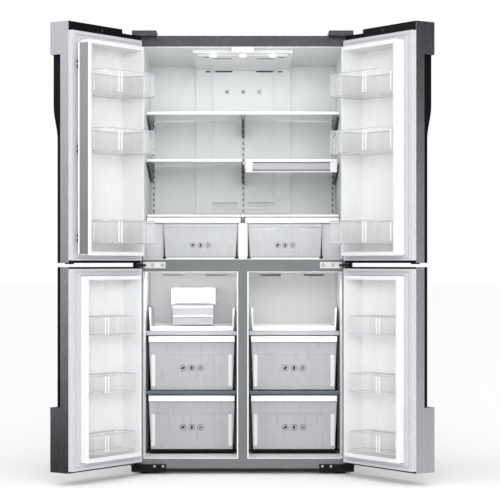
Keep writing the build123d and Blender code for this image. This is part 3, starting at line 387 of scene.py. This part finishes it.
class Build:
    """Collects boxes, discs and rings, each placed by one matrix, into a single mesh."""

    def __init__(self, place=None):
        self.shape = bmesh.new()
        self.place = place or Matrix.Identity(4)

    def box(self, low, high, index=0):
        """A box between two corners. The index picks its material, as in paint, disc and ring."""
        low, high = Vector(low), Vector(high)
        middle = (low + high) / 2
        size = high - low
        matrix = self.place @ Matrix.Translation(middle) @ Matrix.Diagonal((*size, 1))
        made = bmesh.ops.create_cube(self.shape, size=1, matrix=matrix)
        self.paint(made["verts"], index)

    def paint(self, verts, index):
        """Gives the faces on some points a material."""
        for face in {f for v in verts for f in v.link_faces}:
            face.material_index = index

    def disc(self, centre, normal, radius, depth, index=0, sides=24, top=None):
        """A short cylinder, or a cone's frustum when top is given, centred on a point."""
        turn = Vector((0, 0, 1)).rotation_difference(Vector(normal)).to_matrix().to_4x4()
        matrix = self.place @ Matrix.Translation(Vector(centre)) @ turn
        made = bmesh.ops.create_cone(
            self.shape, cap_ends=True, segments=sides, radius1=radius,
            radius2=radius if top is None else top, depth=depth, matrix=matrix,
        )
        self.paint(made["verts"], index)

    def ring(self, centre, across, up, radius, width, depth, index=0, sides=28):
        """A flat printed ring in the plane of two directions, with a little thickness."""
        centre, across, up = Vector(centre), Vector(across), Vector(up)
        normal = across.cross(up)
        rows = []
        for r, h in ((radius - width, 0), (radius - width, depth), (radius, depth), (radius, 0)):
            row = []
            for n in range(sides):
                turn = 2 * math.pi * n / sides
                at = centre + (across * math.cos(turn) + up * math.sin(turn)) * r + normal * h
                row.append(self.shape.verts.new(self.place @ at))
            rows.append(row)
        for a, b in zip(rows, rows[1:] + rows[:1]):
            for n in range(sides):
                face = self.shape.faces.new((a[n], a[(n + 1) % sides], b[(n + 1) % sides], b[n]))
                face.material_index = index

    def done(self, name, materials, body, slot, width=0.0, segments=2):
        """Turns the collected shapes into a piece, rounded where a width is given."""
        bmesh.ops.recalc_face_normals(self.shape, faces=self.shape.faces)
        for face in self.shape.faces:
            face.smooth = width > 0
        mesh = bpy.data.meshes.new(name)
        self.shape.to_mesh(mesh)
        self.shape.free()
        piece = finish_piece(name, mesh, materials, body, slot)
        return soften(piece, width, segments) if width else piece


def tube(name, points, radius, material, body, closed=False):
    """A round bar or bead along a line of points."""
    line = bpy.data.curves.new(name, "CURVE")
    line.dimensions = "3D"
    line.bevel_depth = radius
    line.bevel_resolution = 3
    line.use_fill_caps = True
    spline = line.splines.new("POLY")
    spline.points.add(len(points) - 1)
    for point, at in zip(spline.points, points):
        point.co = (*at, 1)
    spline.use_cyclic_u = closed
    line.materials.append(material)
    piece = bpy.data.objects.new(name, line)
    bpy.context.scene.collection.objects.link(piece)
    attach(piece, body)
    return piece


# ---------------------------------------------------------------- cabinet
def trim_material(at, _size):
    """Smoked edge on the lower freezer shelves, pale grey on the upper ones, white in the fridge."""
    lower_freezer_top, freezer_top = 0.4, 0.8
    return 1 if at.z < lower_freezer_top else 2 if at.z < freezer_top else 0


def hinge_material(at):
    """Black below, and on the arms of the middle hinges between the doors."""
    lower_hinge_top, middle_hinge_top, frame_front = 0.3, 1.0, -0.0965
    return int(at.z < lower_hinge_top or (at.z < middle_hinge_top and at.y < frame_front))


def support_material(at, _size):
    """The middle post is white, and the blocks at the sides are as pale grey as the crispers."""
    return int(abs(at.x) > 0.1)


def gland_material(_at, size):
    """The cord gland is the only solid of the back panels that is small both ways, and it is black."""
    return int(size.x < 0.1 and size.z < 0.1)


def add_crisper_guides():
    """Pale guides that fill the gaps beside and under the crispers."""
    made = Build()
    set_back, short, trim = 0.012, 0.020, 0.002
    outside, inside, under = (0.0006, 0.0027), (0.0008, 0.0034), (0.0015, 0.0078)
    for side in SIDES:
        node = f"{side}_crisper"
        low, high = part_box(node)
        sign, inner, outer = side_span(node)
        front, back = low.y + set_back, high.y - short
        for a, b in ((outer + outside[0], outer + outside[1]), (inner - inside[1], inner - inside[0])):
            x0, x1 = sorted((sign * a, sign * b))
            made.box((x0, front, low.z + trim), (x1, back, high.z - trim))
        x0, x1 = sorted((sign * (inner + set_back), sign * (outer - set_back)))
        made.box((x0, front, low.z - under[1]), (x1, back, low.z - under[0]))
    made.done("crisper_guides", (BRIGHT_WHITE,), "cabinet", "white_liner", 0.0004)


def add_drawer_gap_shade():
    """Dark strips of painted shade on the freezer walls in the gaps beside the drawers, and a dark plate as a
    painted shadow under the lowest.
    """
    made = Build()
    gap, inner_depth, outer_depth = 0.0025, 0.0105, 0.0118
    front, back, under, over = 0.030, 0.004, 0.002, 0.001           # a strip of painted shade round its drawer
    shadow_side, shadow_front, shadow_back = 0.003, 0.020, 0.010
    shadow_low, shadow_high = 0.012, 0.0015
    for side in SIDES:
        for level in LEVELS:
            node = f"{side}_{level}_drawer"
            low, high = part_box(node)
            sign, inner, outer = side_span(node)
            for a, b in ((inner - inner_depth, inner - gap), (outer + gap, outer + outer_depth)):
                x0, x1 = sorted((sign * a, sign * b))
                made.box((x0, low.y + front, low.z - under), (x1, high.y - back, high.z + over))
            # the dark plate under each lowest drawer is a painted shadow
            if level == "lower":
                x0, x1 = sorted((sign * (inner + shadow_side), sign * (outer - shadow_side)))
                corner = (x0, low.y + shadow_front, low.z - shadow_low)
                made.box(corner, (x1, high.y - shadow_back, low.z - shadow_high), 1)
    made.done("drawer_gap_shade", (DARK_GREY, BLACK), "cabinet", "black_plastic", 0.0008)


def dress_cabinet():
    """Every CAD piece that rides on the cabinet, with the fan and the rear rollers."""
    dress("cabinet_panels", SIDE_STEEL)
    dress("front_frame", FRAME_PAINT_WITH_TOP_SHADE)
    dress("cabinet_foam", FOAM)
    dress("fridge_liner", WHITE)
    dress("freezer_liners", WHITE)
    dress("duct_covers", DUCT_WHITE)
    dress("ladder_rails", RAIL)
    dress("shelf_brackets", BRACKET)
    dress("glass_shelves", GLASS)
    dress("shelf_trims", BRIGHT_WHITE, 0.0025, 3, pick=trim_material, extra=(SMOKED, PALE_GREY))
    dress("crisper_supports", BRIGHT_WHITE, 0.003, 3, pick=support_material, extra=(SIDE_GREY,))
    dress("ice_maker", TRAY_WHITE, 0.003, 3)
    dress("hinge_covers", DARK_GREY, 0.0015, 3)
    dress("hinge_plates", HINGE_STEEL, face_pick=hinge_material, extra=(BLACK,))
    dress("hinge_screws", HINGE_STEEL)
    dress("levelling_feet", BLACK)
    dress("ceiling_lamp", LAMP, 0.0015, 3)
    dress("compressor", MACHINE)
    dress("evaporator", SILVER)
    dress("fan_motor", MACHINE)
    dress("evaporator_fan", BLACK)
    dress("rear_rollers", DARK_GREY)
    dress("rear_panels", GALVANISED, pick=gland_material, extra=(BLACK,))


def shade_rail_slots():
    """Dark backs of the ladder rails' slots, painted shade inside the slots."""
    low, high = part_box("ladder_rails")
    half_slot, edge, step = 0.002, 0.009, 0.018
    foot, head, far, near = 0.005, 0.012, 0.0018, 0.001
    made = Build()
    for x, face in ((0.0, high.y - step), (low.x + edge, high.y), (high.x - edge, high.y)):
        front = (x - half_slot, face - far, low.z + foot)
        made.box(front, (x + half_slot, face - near, high.z - head))
    made.done("rail_slot_shade", (SLOT_SHADE,), "cabinet", "rail_steel")


def add_base_plate():
    """A dark plate under the foam, which would show below the front frame."""
    foam = [v.co for v in NODES["cabinet_foam"].data.vertices]
    base = min(p.z for p in foam)
    low, high = box_of([p for p in foam if p.z < base + 0.001])
    gap, thickness = 0.0002, 0.001
    made = Build()
    made.box((low.x, low.y, base - gap - thickness), (high.x, high.y, base - gap))
    made.done("base_plate", (DARK_GREY,), "cabinet", "galvanised", 0.0004)


def add_header_gap_shade():
    """The dark line of painted shade between the lowest shelf and the header over the crispers."""
    boxes = solid_boxes("shelf_trims")
    header_height, inset, clearance = 0.020, 0.003, 0.0002
    strip_front, strip_back = 0.050, 0.056
    header_top = max(high.z for low, high in boxes if high.z - low.z > header_height)
    shelf_under = min(low.z for low, high in boxes if low.z > header_top)
    low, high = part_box("shelf_trims")
    made = Build()
    front = (low.x + inset, strip_front, header_top + clearance)
    made.box(front, (high.x - inset, strip_back, shelf_under - clearance))
    made.done("crisper_header_gap_shade", (SLOT_SHADE,), "cabinet", "white_liner")


def add_lamp_spots():
    """Three LED spots standing out of the ceiling lamp."""
    low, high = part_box("ceiling_lamp")
    spacing, depth, wide, narrow = 0.125, 0.003, 0.017, 0.013
    made = Build()
    middle = (low.y + high.y) / 2 - 0.002
    for n in (-1, 0, 1):
        at = (n * spacing, middle, low.z + depth / 2)
        made.disc(at, (0, 0, -1), wide, depth, sides=32, top=narrow)
    made.done("lamp_spots", (LED,), "cabinet", "lamp_lens", 0.0005)


def add_duct_details():
    """Framed lower vents, a raised front panel, upper air slots drawn as dark strips of painted shade, and a
    generic row of three marks.
    """
    low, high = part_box("ladder_rails")
    rail_depth, rail_foot, vent_foot, vent_height = 0.018, 0.012, 0.044, 0.020
    face = high.y - rail_depth
    duct_low = low.z - rail_foot
    bottom, top = duct_low + vent_foot, duct_low + vent_foot + vent_height
    louvres, first, pitch, blade, lip = 3, 0.004, 0.006, 0.0016, 0.002
    made = Build()
    for a, b in ((-0.139, -0.023), (0.020, 0.136)):
        for n in range(louvres):
            z = bottom + first + n * pitch
            made.box((a + lip, face + 0.0015, z), (b - lip, face + 0.007, z + blade))
        for z in (bottom - lip, top):
            made.box((a - lip, face - 0.0012, z), (b + lip, face + 0.002, z + lip))
    made.done("vent_louvres", (BRIGHT_WHITE,), "cabinet", "white_liner", 0.0004)

    half_panel, panel_foot, panel_top, proud, sunk = 0.130, 0.074, 1.7120, 0.0016, 0.0006
    panel = Build()
    panel.box((-half_panel, face - proud, duct_low + panel_foot), (half_panel, face + sunk, panel_top))
    panel.done("duct_front_panel", (DUCT_WHITE,), "cabinet", "white_liner", 0.0014, segments=3)

    ceiling, height, front, rear = 1.7424, 0.0016, 0.095, 0.109     # the slots over the shelf
    back_low, back_high, step, inset = 1.7168, 1.7212, 0.006, 0.0008   # and those on the back wall
    # the air slots are dark strips of painted shade, standing in for the shade in the openings
    dark = Build()
    wide_slots = [(x0, x1, step) for x0, x1 in ((-0.123, -0.048), (0.057, 0.134))]
    for x0, x1, drop in [(-0.166, -0.145, 0), *wide_slots, (0.153, 0.174, 0)]:
        dark.box((x0, front, ceiling - drop), (x1, rear, ceiling + height - drop))
        back = face if drop else face + step
        dark.box((x0 + inset, back - 0.0004, back_low), (x1 - inset, back + 0.0012, back_high))
    dark.done("air_vent_slot_shade", (SLOT_SHADE,), "cabinet", "white_liner")
    add_marks("duct_marks", "cabinet", (0, face - 0.0018, 1.629), scale=1.15, gap=0.062)


def add_marks(name, body, centre, scale=1.0, gap=0.0245):
    """Three generic round marks in a row, facing front: a leaf, a drop and a flake, each in its ring."""
    across, up = Vector((1, 0, 0)), Vector((0, 0, 1))
    normal = across.cross(up)
    radius, line, thickness = 0.0088, 0.0011, 0.0003
    half_length, half_width, half_spoke = 0.0052, 0.0018, 0.0006
    shorter, wider = 0.55, 1.8          # the belly of a leaf or a drop
    made = Build()
    for n, (turn, spokes) in enumerate(((0.6, 1), (1.57, 1), (0.0, 3))):
        at = Vector(centre) + across * (gap * scale * (n - 1))
        made.ring(at, across, up, radius * scale, line * scale, thickness)
        long, wide = half_length * scale, (half_width if spokes == 1 else half_spoke) * scale
        for k in range(spokes):
            angle = turn + math.pi * k / spokes
            along = across * math.cos(angle) + up * math.sin(angle)
            place = Matrix.Identity(4)
            place.col[0][:3], place.col[1][:3], place.col[2][:3] = along, normal.cross(along), normal
            place.col[3][:3] = at
            made.place = place
            made.box((-long, -wide, 0), (long, wide, thickness))
            if spokes == 1:
                made.box((-long * shorter, -wide * wider, 0), (long * shorter, wide * wider, thickness))
            made.place = Matrix.Identity(4)
    made.done(name, (INK,), body, SLOTS.get(body, "white_liner"))


# ---------------------------------------------------------------- drawers
def dress_drawers():
    """Everything that slides out of the cabinet, apart from the pull-out shelf."""
    for side in SIDES:
        dress_crisper(f"{side}_crisper")
        for level in LEVELS:
            dress_freezer_drawer(f"{side}_{level}_drawer")
        dress(f"{side}_tray", TRAY_WHITE, 0.0015, 3)
    dress_ice_bucket()


def dress_crisper(node):
    """A clear crisper with its marks, upright ribs and a ridge along its foot."""
    dress(node, CRISPER, 0.0015, 3)
    low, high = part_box(node)
    face, marks_face, marks_height = 0.0088, 0.0095, 0.050
    front = low.y + face
    marks_at = ((low.x + high.x) / 2, low.y + marks_face, low.z + marks_height)
    add_marks(f"{node}_marks", node, marks_at, scale=1.3)
    half_rib, set_in, pitch, ends, rib_depth, foot_depth = 0.0012, 0.030, 0.015, 0.030, 0.0017, 0.0012
    ribs = Build()
    for x in (low.x + set_in, low.x + set_in + pitch, high.x - set_in - pitch, high.x - set_in):
        ribs.box((x - half_rib, front, low.z + ends), (x + half_rib, front + rib_depth, high.z - ends))
    side, foot, tall = 0.02, 0.018, 0.0025
    top = low.z + foot + tall
    ribs.box((low.x + side, front, low.z + foot), (high.x - side, front + foot_depth, top))
    ribs.done(f"{node}_ribs", (CLEAR,), node, "clear_plastic", 0.0005)


def drawer_material(_at, size):
    """A freezer drawer's thin front grip is white."""
    return int(size.y < 0.02)


def dress_freezer_drawer(node):
    """A frosted drawer with its marks, ridges, side bands and a white grip along the top."""
    dress(node, FROSTED, 0.002, 3, pick=drawer_material, extra=(BRIGHT_WHITE,))
    low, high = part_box(node)
    face, marks_depth, marks_height = 0.0093, 0.0018, 0.092
    front = low.y + face
    middle = (low.x + high.x) / 2
    add_marks(f"{node}_marks", node, (middle, front + marks_depth, low.z + marks_height), scale=1.5)
    edge, foot_edge, band_edge, band_width = 0.006, 0.012, 0.011, 0.016
    line_low, line_high = high.z - 0.078, high.z - 0.075
    foot_low, foot_high = low.z + 0.012, low.z + 0.0145
    band_low, band_high = low.z + 0.014, high.z - 0.030
    line = Build()
    line.box((low.x + edge, front, line_low), (high.x - edge, front + 0.004, line_high))
    line.box((low.x + foot_edge, front + 0.003, foot_low), (high.x - foot_edge, front + 0.006, foot_high))
    for x in (low.x + band_edge, high.x - band_edge - band_width):
        line.box((x, front + 0.0012, band_low), (x + band_width, front + 0.005, band_high), 1)
    line.done(f"{node}_ridges", (FROSTED, RIB_WHITE_AND_HIGHLIGHT), node, "drawer_plastic", 0.0008)
    lip_drop, lip_height, lip_proud, band_proud, inset, sunk = 0.024, 0.005, 0.003, 0.0015, 0.0005, 0.001
    under = high.z - lip_drop
    grip = Build()
    grip.box((low.x, low.y - lip_proud, under), (high.x, low.y + sunk, under + lip_height))
    band = (low.x + inset, low.y - band_proud, under + lip_height / 2)
    grip.box(band, (high.x - inset, low.y + sunk, high.z - sunk))
    grip.done(f"{node}_grip_lip", (BRIGHT_WHITE,), node, "white_liner", 0.0012)


def dress_ice_bucket():
    """The ice bucket with a band round its foot, middle and rim, and ribs at its corners."""
    node = "ice_bucket"
    dress(node, BUCKET)
    low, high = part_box(node)
    edge, proud, sunk, rib_width, rib_foot = 0.004, 0.003, 0.002, 0.003, 0.005
    rim = high.z - 0.012
    bands = ((low.z + 0.001, 0.004, 0), (low.z + 0.034, 0.007, 1), (rim, 0.008, 1))
    ribs = Build()
    for z, tall, index in bands:
        ribs.box((low.x + edge, low.y - proud, z), (high.x - edge, low.y + sunk, z + tall), index)
    for x in (low.x + 0.0045, high.x - 0.0075):
        ribs.box((x, low.y - sunk, low.z + rib_foot), (x + rib_width, low.y + sunk, rim))
    ribs.done(f"{node}_ribs", (PALE_GREY, RIB_WHITE_AND_HIGHLIGHT), node, "clear_plastic", 0.0006)


def add_ice_maker_details():
    """Four shallow pads, two long lips and a round button on the front of the ice maker."""
    low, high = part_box("ice_maker")
    pads, pad_half, pad_edge, lip_edge = 4, 0.012, 0.022, 0.016
    pad_low, pad_high, pad_proud = low.z + 0.018, high.z - 0.020, 0.0012
    proud, sunk, button_radius, button_depth = 0.004, 0.001, 0.009, 0.012
    made = Build()
    for n in range(pads):
        x = low.x + pad_edge + n * (high.x - low.x - 2 * pad_edge) / (pads - 1)
        made.box((x - pad_half, low.y - pad_proud, pad_low), (x + pad_half, low.y + sunk, pad_high), 1)
    for z0, z1 in ((high.z - 0.018, high.z - 0.013), (low.z + 0.010, low.z + 0.014)):
        made.box((low.x + lip_edge, low.y - proud, z0), (high.x - lip_edge, low.y + sunk, z1))
    button = (high.x - pad_edge, low.y - proud, (low.z + high.z) / 2)
    made.disc(button, (0, -1, 0), button_radius, button_depth)
    made.done("ice_maker_front", (BRIGHT_WHITE, WHITE), "cabinet", "white_liner", 0.0008)


def dress_sliding_shelf():
    """The pull-out shelf: its glass and satin bar, with white end blocks and trims round the bar."""
    dress("sliding_shelf_glass", GLASS)
    dress("sliding_shelf_bar", SILVER, 0.0015, 3)
    low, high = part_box("sliding_shelf_bar")
    block, over, proud = 0.028, 0.0003, 0.0006
    trim_under, trim_depth, block_depth = high.z - 0.0112, 0.012, 0.020
    button_height, button_radius, button_depth = 0.022, 0.009, 0.003
    made = Build()
    made.box((low.x - over, low.y - proud, trim_under), (high.x + over, low.y + trim_depth, high.z + over))
    for x in (low.x, high.x - block):
        made.box((x - over, low.y - proud, low.z - over), (x + block + over, low.y + block_depth, trim_under))
        button = (x + block / 2, low.y - 0.001, low.z + button_height)
        made.disc(button, (0, -1, 0), button_radius, button_depth)
    front = (low.x + block, low.y + 0.0075, low.z - 0.0002)
    made.box(front, (high.x - block, low.y + 0.0145, low.z + 0.0045))
    made.done("sliding_shelf_trim", (BRIGHT_WHITE,), "sliding_shelf", "white_liner", 0.0018, segments=3)


# ---------------------------------------------------------------- doors
def rounded_outline(u, v, radius, steps=6):
    """Points round a rectangle with round corners."""
    points = []
    for cu, cv, start in ((u[1], v[1], 0), (u[0], v[1], 90), (u[0], v[0], 180), (u[1], v[0], 270)):
        centre = (cu - radius if cu == u[1] else cu + radius, cv - radius if cv == v[1] else cv + radius)
        for n in range(steps + 1):
            turn = math.radians(start + 90 * n / steps)
            points.append((centre[0] + radius * math.cos(turn), centre[1] + radius * math.sin(turn)))
    return points


def bin_heights(node):
    """Lowest and highest z of each bin in a CAD node."""
    return sorted({(round(low.z, 4), round(high.z, 4)) for low, high in solid_boxes(node)})


def add_bin_details(body):
    """Thicker rims, base beads and corner ribs on the bins of one door; the ribs' white is a painted
    highlight.
    """
    node = body + "_bins"
    low, high = in_door(body, node)
    place = door_matrix(body)
    corner, end, half_rib = 0.016, 0.006, 0.0028
    side_end, half_side_rib, side_out, side_half_depth = 0.01, 0.0012, 0.0008, 0.0015
    for number, (z0, z1) in enumerate(bin_heights(node)):
        beads = (("rim", z1 - 0.003, 0.0020, 0.001), ("base", z0 + 0.003, 0.0016, 0.0002))
        for part, z, radius, inset in beads:
            across, depth = (low.x + inset, high.x - inset), (low.y + inset, high.y - inset)
            points = [place @ Vector((u, v, z)) for u, v in rounded_outline(across, depth, corner)]
            tube(f"{body}_bin_{number}_{part}", points, radius, EDGE, body, closed=True)
        # the ribs' near-white stands in for a painted highlight on the bins
        made = Build(place)
        for u in (high.x - 0.096, high.x - 0.078):
            made.box((u - half_rib, high.y - 0.001, z0 + end), (u + half_rib, high.y + 0.0014, z1 - end))
        if body.startswith("upper"):
            for share in (0.35, 0.65):
                v = low.y + (high.y - low.y) * share
                for u in (low.x - side_out, high.x + side_out):
                    back = (u - half_side_rib, v - side_half_depth, z0 + side_end)
                    made.box(back, (u + half_side_rib, v + side_half_depth, z1 - side_end))
        made.done(f"{body}_bin_{number}_ribs", (RIB_WHITE_AND_HIGHLIGHT,), body, "clear_plastic", 0.0006)


def add_liner_details(body):
    """Bin rests and long shallow ribs on the inside of a door's liner."""
    low, high = in_door(body, body + "_liner")
    bins_low, bins_high = in_door(body, body + "_bins")
    floor = bins_low.y - 0.003
    half_rib, rib_inset, rib_end = 0.003, 0.07, 0.06
    made = Build(door_matrix(body))
    for u in (bins_low.x + rib_inset, bins_high.x - rib_inset):
        back = (u - half_rib, floor - 0.001, low.z + rib_end)
        made.box(back, (u + half_rib, floor + 0.0022, high.z - rib_end))
    side = bins_high.x
    for bin_base, _ in bin_heights(body + "_bins"):
        back = (side + 0.0002, floor + 0.012, bin_base - 0.006)
        made.box(back, (side + 0.0012, bins_high.y - 0.075, bin_base - 0.001))
    made.done(f"{body}_liner_ribs", (WHITE,), body, "white_liner", 0.0009)


def add_cap_details(body):
    """A screw with a black cross of painted shade in an upper door's top cap, and a small stub under each
    bottom cap.
    """
    low, high = in_door(body, body + "_trim")
    made = Build(door_matrix(body))
    if body.startswith("upper"):
        u, z, face = 0.235, high.z - 0.018, 0.0208
        long, wide, head_radius, head_depth = 0.0035, 0.0006, 0.0055, 0.0016
        made.disc((u, face - 0.0005, z), (0, 1, 0), head_radius, head_depth, 1, sides=20)
        # the black cross stands in for the shade in the screw's recess
        for du, dz in ((long, wide), (wide, long)):
            made.box((u - du, face, z - dz), (u + du, face + 0.0008, z + dz))
    far, near, front, back = 0.060, 0.036, -0.030, -0.004       # the stub, in from the free edge
    under, over = 0.0045, 0.001
    made.box((high.x - far, front, low.z - under), (high.x - near, back, low.z + over))
    made.done(f"{body}_cap_details", (BLACK, DARK_GREY), body, "black_plastic", 0.0006)


def dress_doors():
    """The four doors, and the flipper on the upper left one."""
    for body in DOORS:
        dress(f"{body}_skin", STEEL)
        dress(f"{body}_foam", FOAM)
        dress(f"{body}_liner", WHITE, 0.004, 4)
        dress(f"{body}_gasket", RUBBER, 0.0016, 3)
        dress(f"{body}_trim", BLACK)
        dress(f"{body}_bins", CLEAR, 0.0008, 2)
        add_bin_details(body)
        add_liner_details(body)
        add_cap_details(body)
    dress("flipper_bar", BRIGHT_WHITE, 0.002, 3)
    dress("flipper_plate", FLIPPER_STEEL)
    add_flipper_edge()


def add_flipper_edge():
    """A white strip along the free edge of the flipper's steel plate."""
    low, high = in_door("upper_left_door", "flipper_plate")
    end, proud = 0.001, 0.0008
    made = Build(door_matrix("upper_left_door"))
    made.box((high.x - end, low.y - proud, low.z + end), (high.x + proud, low.y + 0.0055, high.z - end))
    made.done("flipper_edge", (BRIGHT_WHITE,), "flipper", "white_liner", 0.0005)


# ---------------------------------------------------------------- fasteners
def add_screw_cross_shade():
    """Cross recesses and a ring round each head, as dark inlays of painted shade, in the heads that show."""
    long, wide, proud, sunk = 0.0032, 0.0006, 0.0002, 0.0004
    made = Build()
    for low, high in solid_boxes("hinge_screws"):
        size, at = high - low, (low + high) / 2
        if size.y > size.z:
            for x, z in ((long, wide), (wide, long)):
                made.box((at.x - x, low.y - proud, at.z - z), (at.x + x, low.y + sunk, at.z + z))
            # a dark ring of painted shade round the head
            made.ring((at.x, low.y + 0.0022, at.z), (1, 0, 0), (0, 0, 1), 0.0068, 0.0016, 0.0006)
    made.done("hinge_screw_cross_shade", (SLOT_SHADE,), "cabinet", "hinge_steel")


def add_back_details():
    """Pressed ribs and rows of screws on the back panel."""
    low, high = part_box("rear_panels")
    rib_pitch, half_rib, rib_base, rib_end = 0.27, 0.07, 0.38, 0.12
    screws, screw_pitch, lowest_screw, edge = 7, 0.24, 0.27, 0.012
    sheet, rib_proud, head_radius, head_depth = 0.003, 0.0016, 0.005, 0.0024
    back = high.y - sheet
    made = Build()
    for n in (-1, 0, 1):
        x = n * rib_pitch
        corner = (x - half_rib, back - 0.0006, rib_base)
        made.box(corner, (x + half_rib, back + rib_proud, high.z - rib_end))
    for x in (low.x + edge, high.x - edge):
        for n in range(screws):
            at = (x, back + 0.0012, lowest_screw + n * screw_pitch)
            made.disc(at, (0, 1, 0), head_radius, head_depth, 1, sides=18)
    made.done("back_panel_pressings", (GALVANISED, HINGE_STEEL), "cabinet", "galvanised", 0.0008, segments=3)


# ---------------------------------------------------------------- studio
def add_area(name, at, target, size, power):
    """A soft rectangular light, aimed at a point and hidden from the camera."""
    data = bpy.data.lights.new(name, "AREA")
    data.shape = "RECTANGLE"
    data.size, data.size_y = size
    data.energy = power
    lamp = bpy.data.objects.new(name, data)
    lamp.location = at
    lamp.rotation_euler = (Vector(target) - Vector(at)).to_track_quat("-Z", "Y").to_euler()
    lamp.visible_camera = False
    bpy.context.scene.collection.objects.link(lamp)


def add_stage(name, corners, material):
    """A flat four-cornered sheet of the set, which isn't part of the object."""
    mesh = bpy.data.meshes.new(name)
    mesh.from_pydata(corners, [], [(0, 1, 2, 3)])
    mesh.materials.append(material)
    sheet = bpy.data.objects.new(name, mesh)
    bpy.context.scene.collection.objects.link(sheet)
    return sheet


def add_reflector(name, x, low, high):
    """A tall card beside the set that only glossy surfaces see, fading from low to high in strength."""
    made = bpy.data.materials.new(name)
    made.use_nodes = True
    tree = made.node_tree
    tree.nodes.clear()
    out = tree.nodes.new("ShaderNodeOutputMaterial")
    glow = tree.nodes.new("ShaderNodeEmission")
    place = tree.nodes.new("ShaderNodeTexCoord")
    split = tree.nodes.new("ShaderNodeSeparateXYZ")
    tree.links.new(place.outputs["Object"], split.inputs["Vector"])
    tree.links.new(spread(tree, split.outputs["Z"], low, high, CARD_FADE), glow.inputs["Strength"])
    tree.links.new(glow.outputs["Emission"], out.inputs["Surface"])
    (y0, y1), (z0, z1) = CARD_Y, CARD_Z
    card = add_stage(name, [(x, y0, z0), (x, y1, z0), (x, y1, z1), (x, y0, z1)], made)
    for kind in ("camera", "diffuse", "transmission", "volume_scatter", "shadow"):
        setattr(card, f"visible_{kind}", False)


def add_studio():
    """A pale plain floor, a white world, soft lights, and the display settings."""
    s = FLOOR_SIZE
    paint = moulded("studio_floor", (0.97, 0.97, 0.97), 0.7, 40, 0.00005, 0.01)
    floor = add_stage("studio_floor", [(-s, -s, 0), (s, -s, 0), (s, s, 0), (-s, s, 0)], paint)
    floor.visible_glossy = False

    world = bpy.data.worlds.new("studio")
    world.use_nodes = True
    background = world.node_tree.nodes["Background"]
    background.inputs["Color"].default_value = (1, 1, 1, 1)
    background.inputs["Strength"].default_value = 1.0
    bpy.context.scene.world = world

    middle = (0, 0, 0.9)
    add_area("front_light", (0.4, -7.0, 2.6), middle, (3.0, 2.2), 170)
    add_area("left_light", (-3.2, -4.6, 2.4), middle, (1.6, 2.2), 25)
    add_area("right_light", (3.2, -4.6, 2.0), middle, (1.6, 2.2), 25)
    add_area("fridge_glow", (0, -0.02, 1.70), (0, 0.16, 0.95), (0.60, 0.05), 0.55)
    room, ceiling = 0.2165, 0.815       # middle of a freezer room, and just under its ceiling
    for name, x in (("left_freezer_glow", -room), ("right_freezer_glow", room)):
        add_area(name, (x, -0.05, ceiling), (x, 0.12, 0.3), (0.30, 0.04), 0.57)
    for name, x in (("left_room_glow", -0.362), ("middle_room_glow", -0.070)):
        add_area(name, (x, 0.04, ceiling), (-room, 0.449, 0.66), (0.05, 0.04), 0.20)
    add_reflector("left_card", -CARD_X, 0.02, 0.77)
    add_reflector("right_card", CARD_X, 0.60, 0.03)
    view = bpy.context.scene.view_settings
    view.view_transform = "Standard"
    view.look = "None"


def add_camera():
    """A long lens in front of the cabinet, a little right of its middle."""
    data = bpy.data.cameras.new("camera")
    data.sensor_width = 36
    data.lens = 131.4
    data.shift_y = 0.024
    data.clip_end = 200
    camera = bpy.data.objects.new("camera", data)
    camera.location = (0.030, -7.631, 0.876)
    camera.rotation_euler = (math.radians(90), 0, 0)
    bpy.context.scene.collection.objects.link(camera)
    bpy.context.scene.camera = camera


add_camera()
dress_cabinet()
shade_rail_slots()
add_drawer_gap_shade()
add_crisper_guides()
add_base_plate()
add_header_gap_shade()
add_lamp_spots()
add_duct_details()
dress_drawers()
add_ice_maker_details()
dress_sliding_shelf()
dress_doors()
add_screw_cross_shade()
add_back_details()
add_studio()
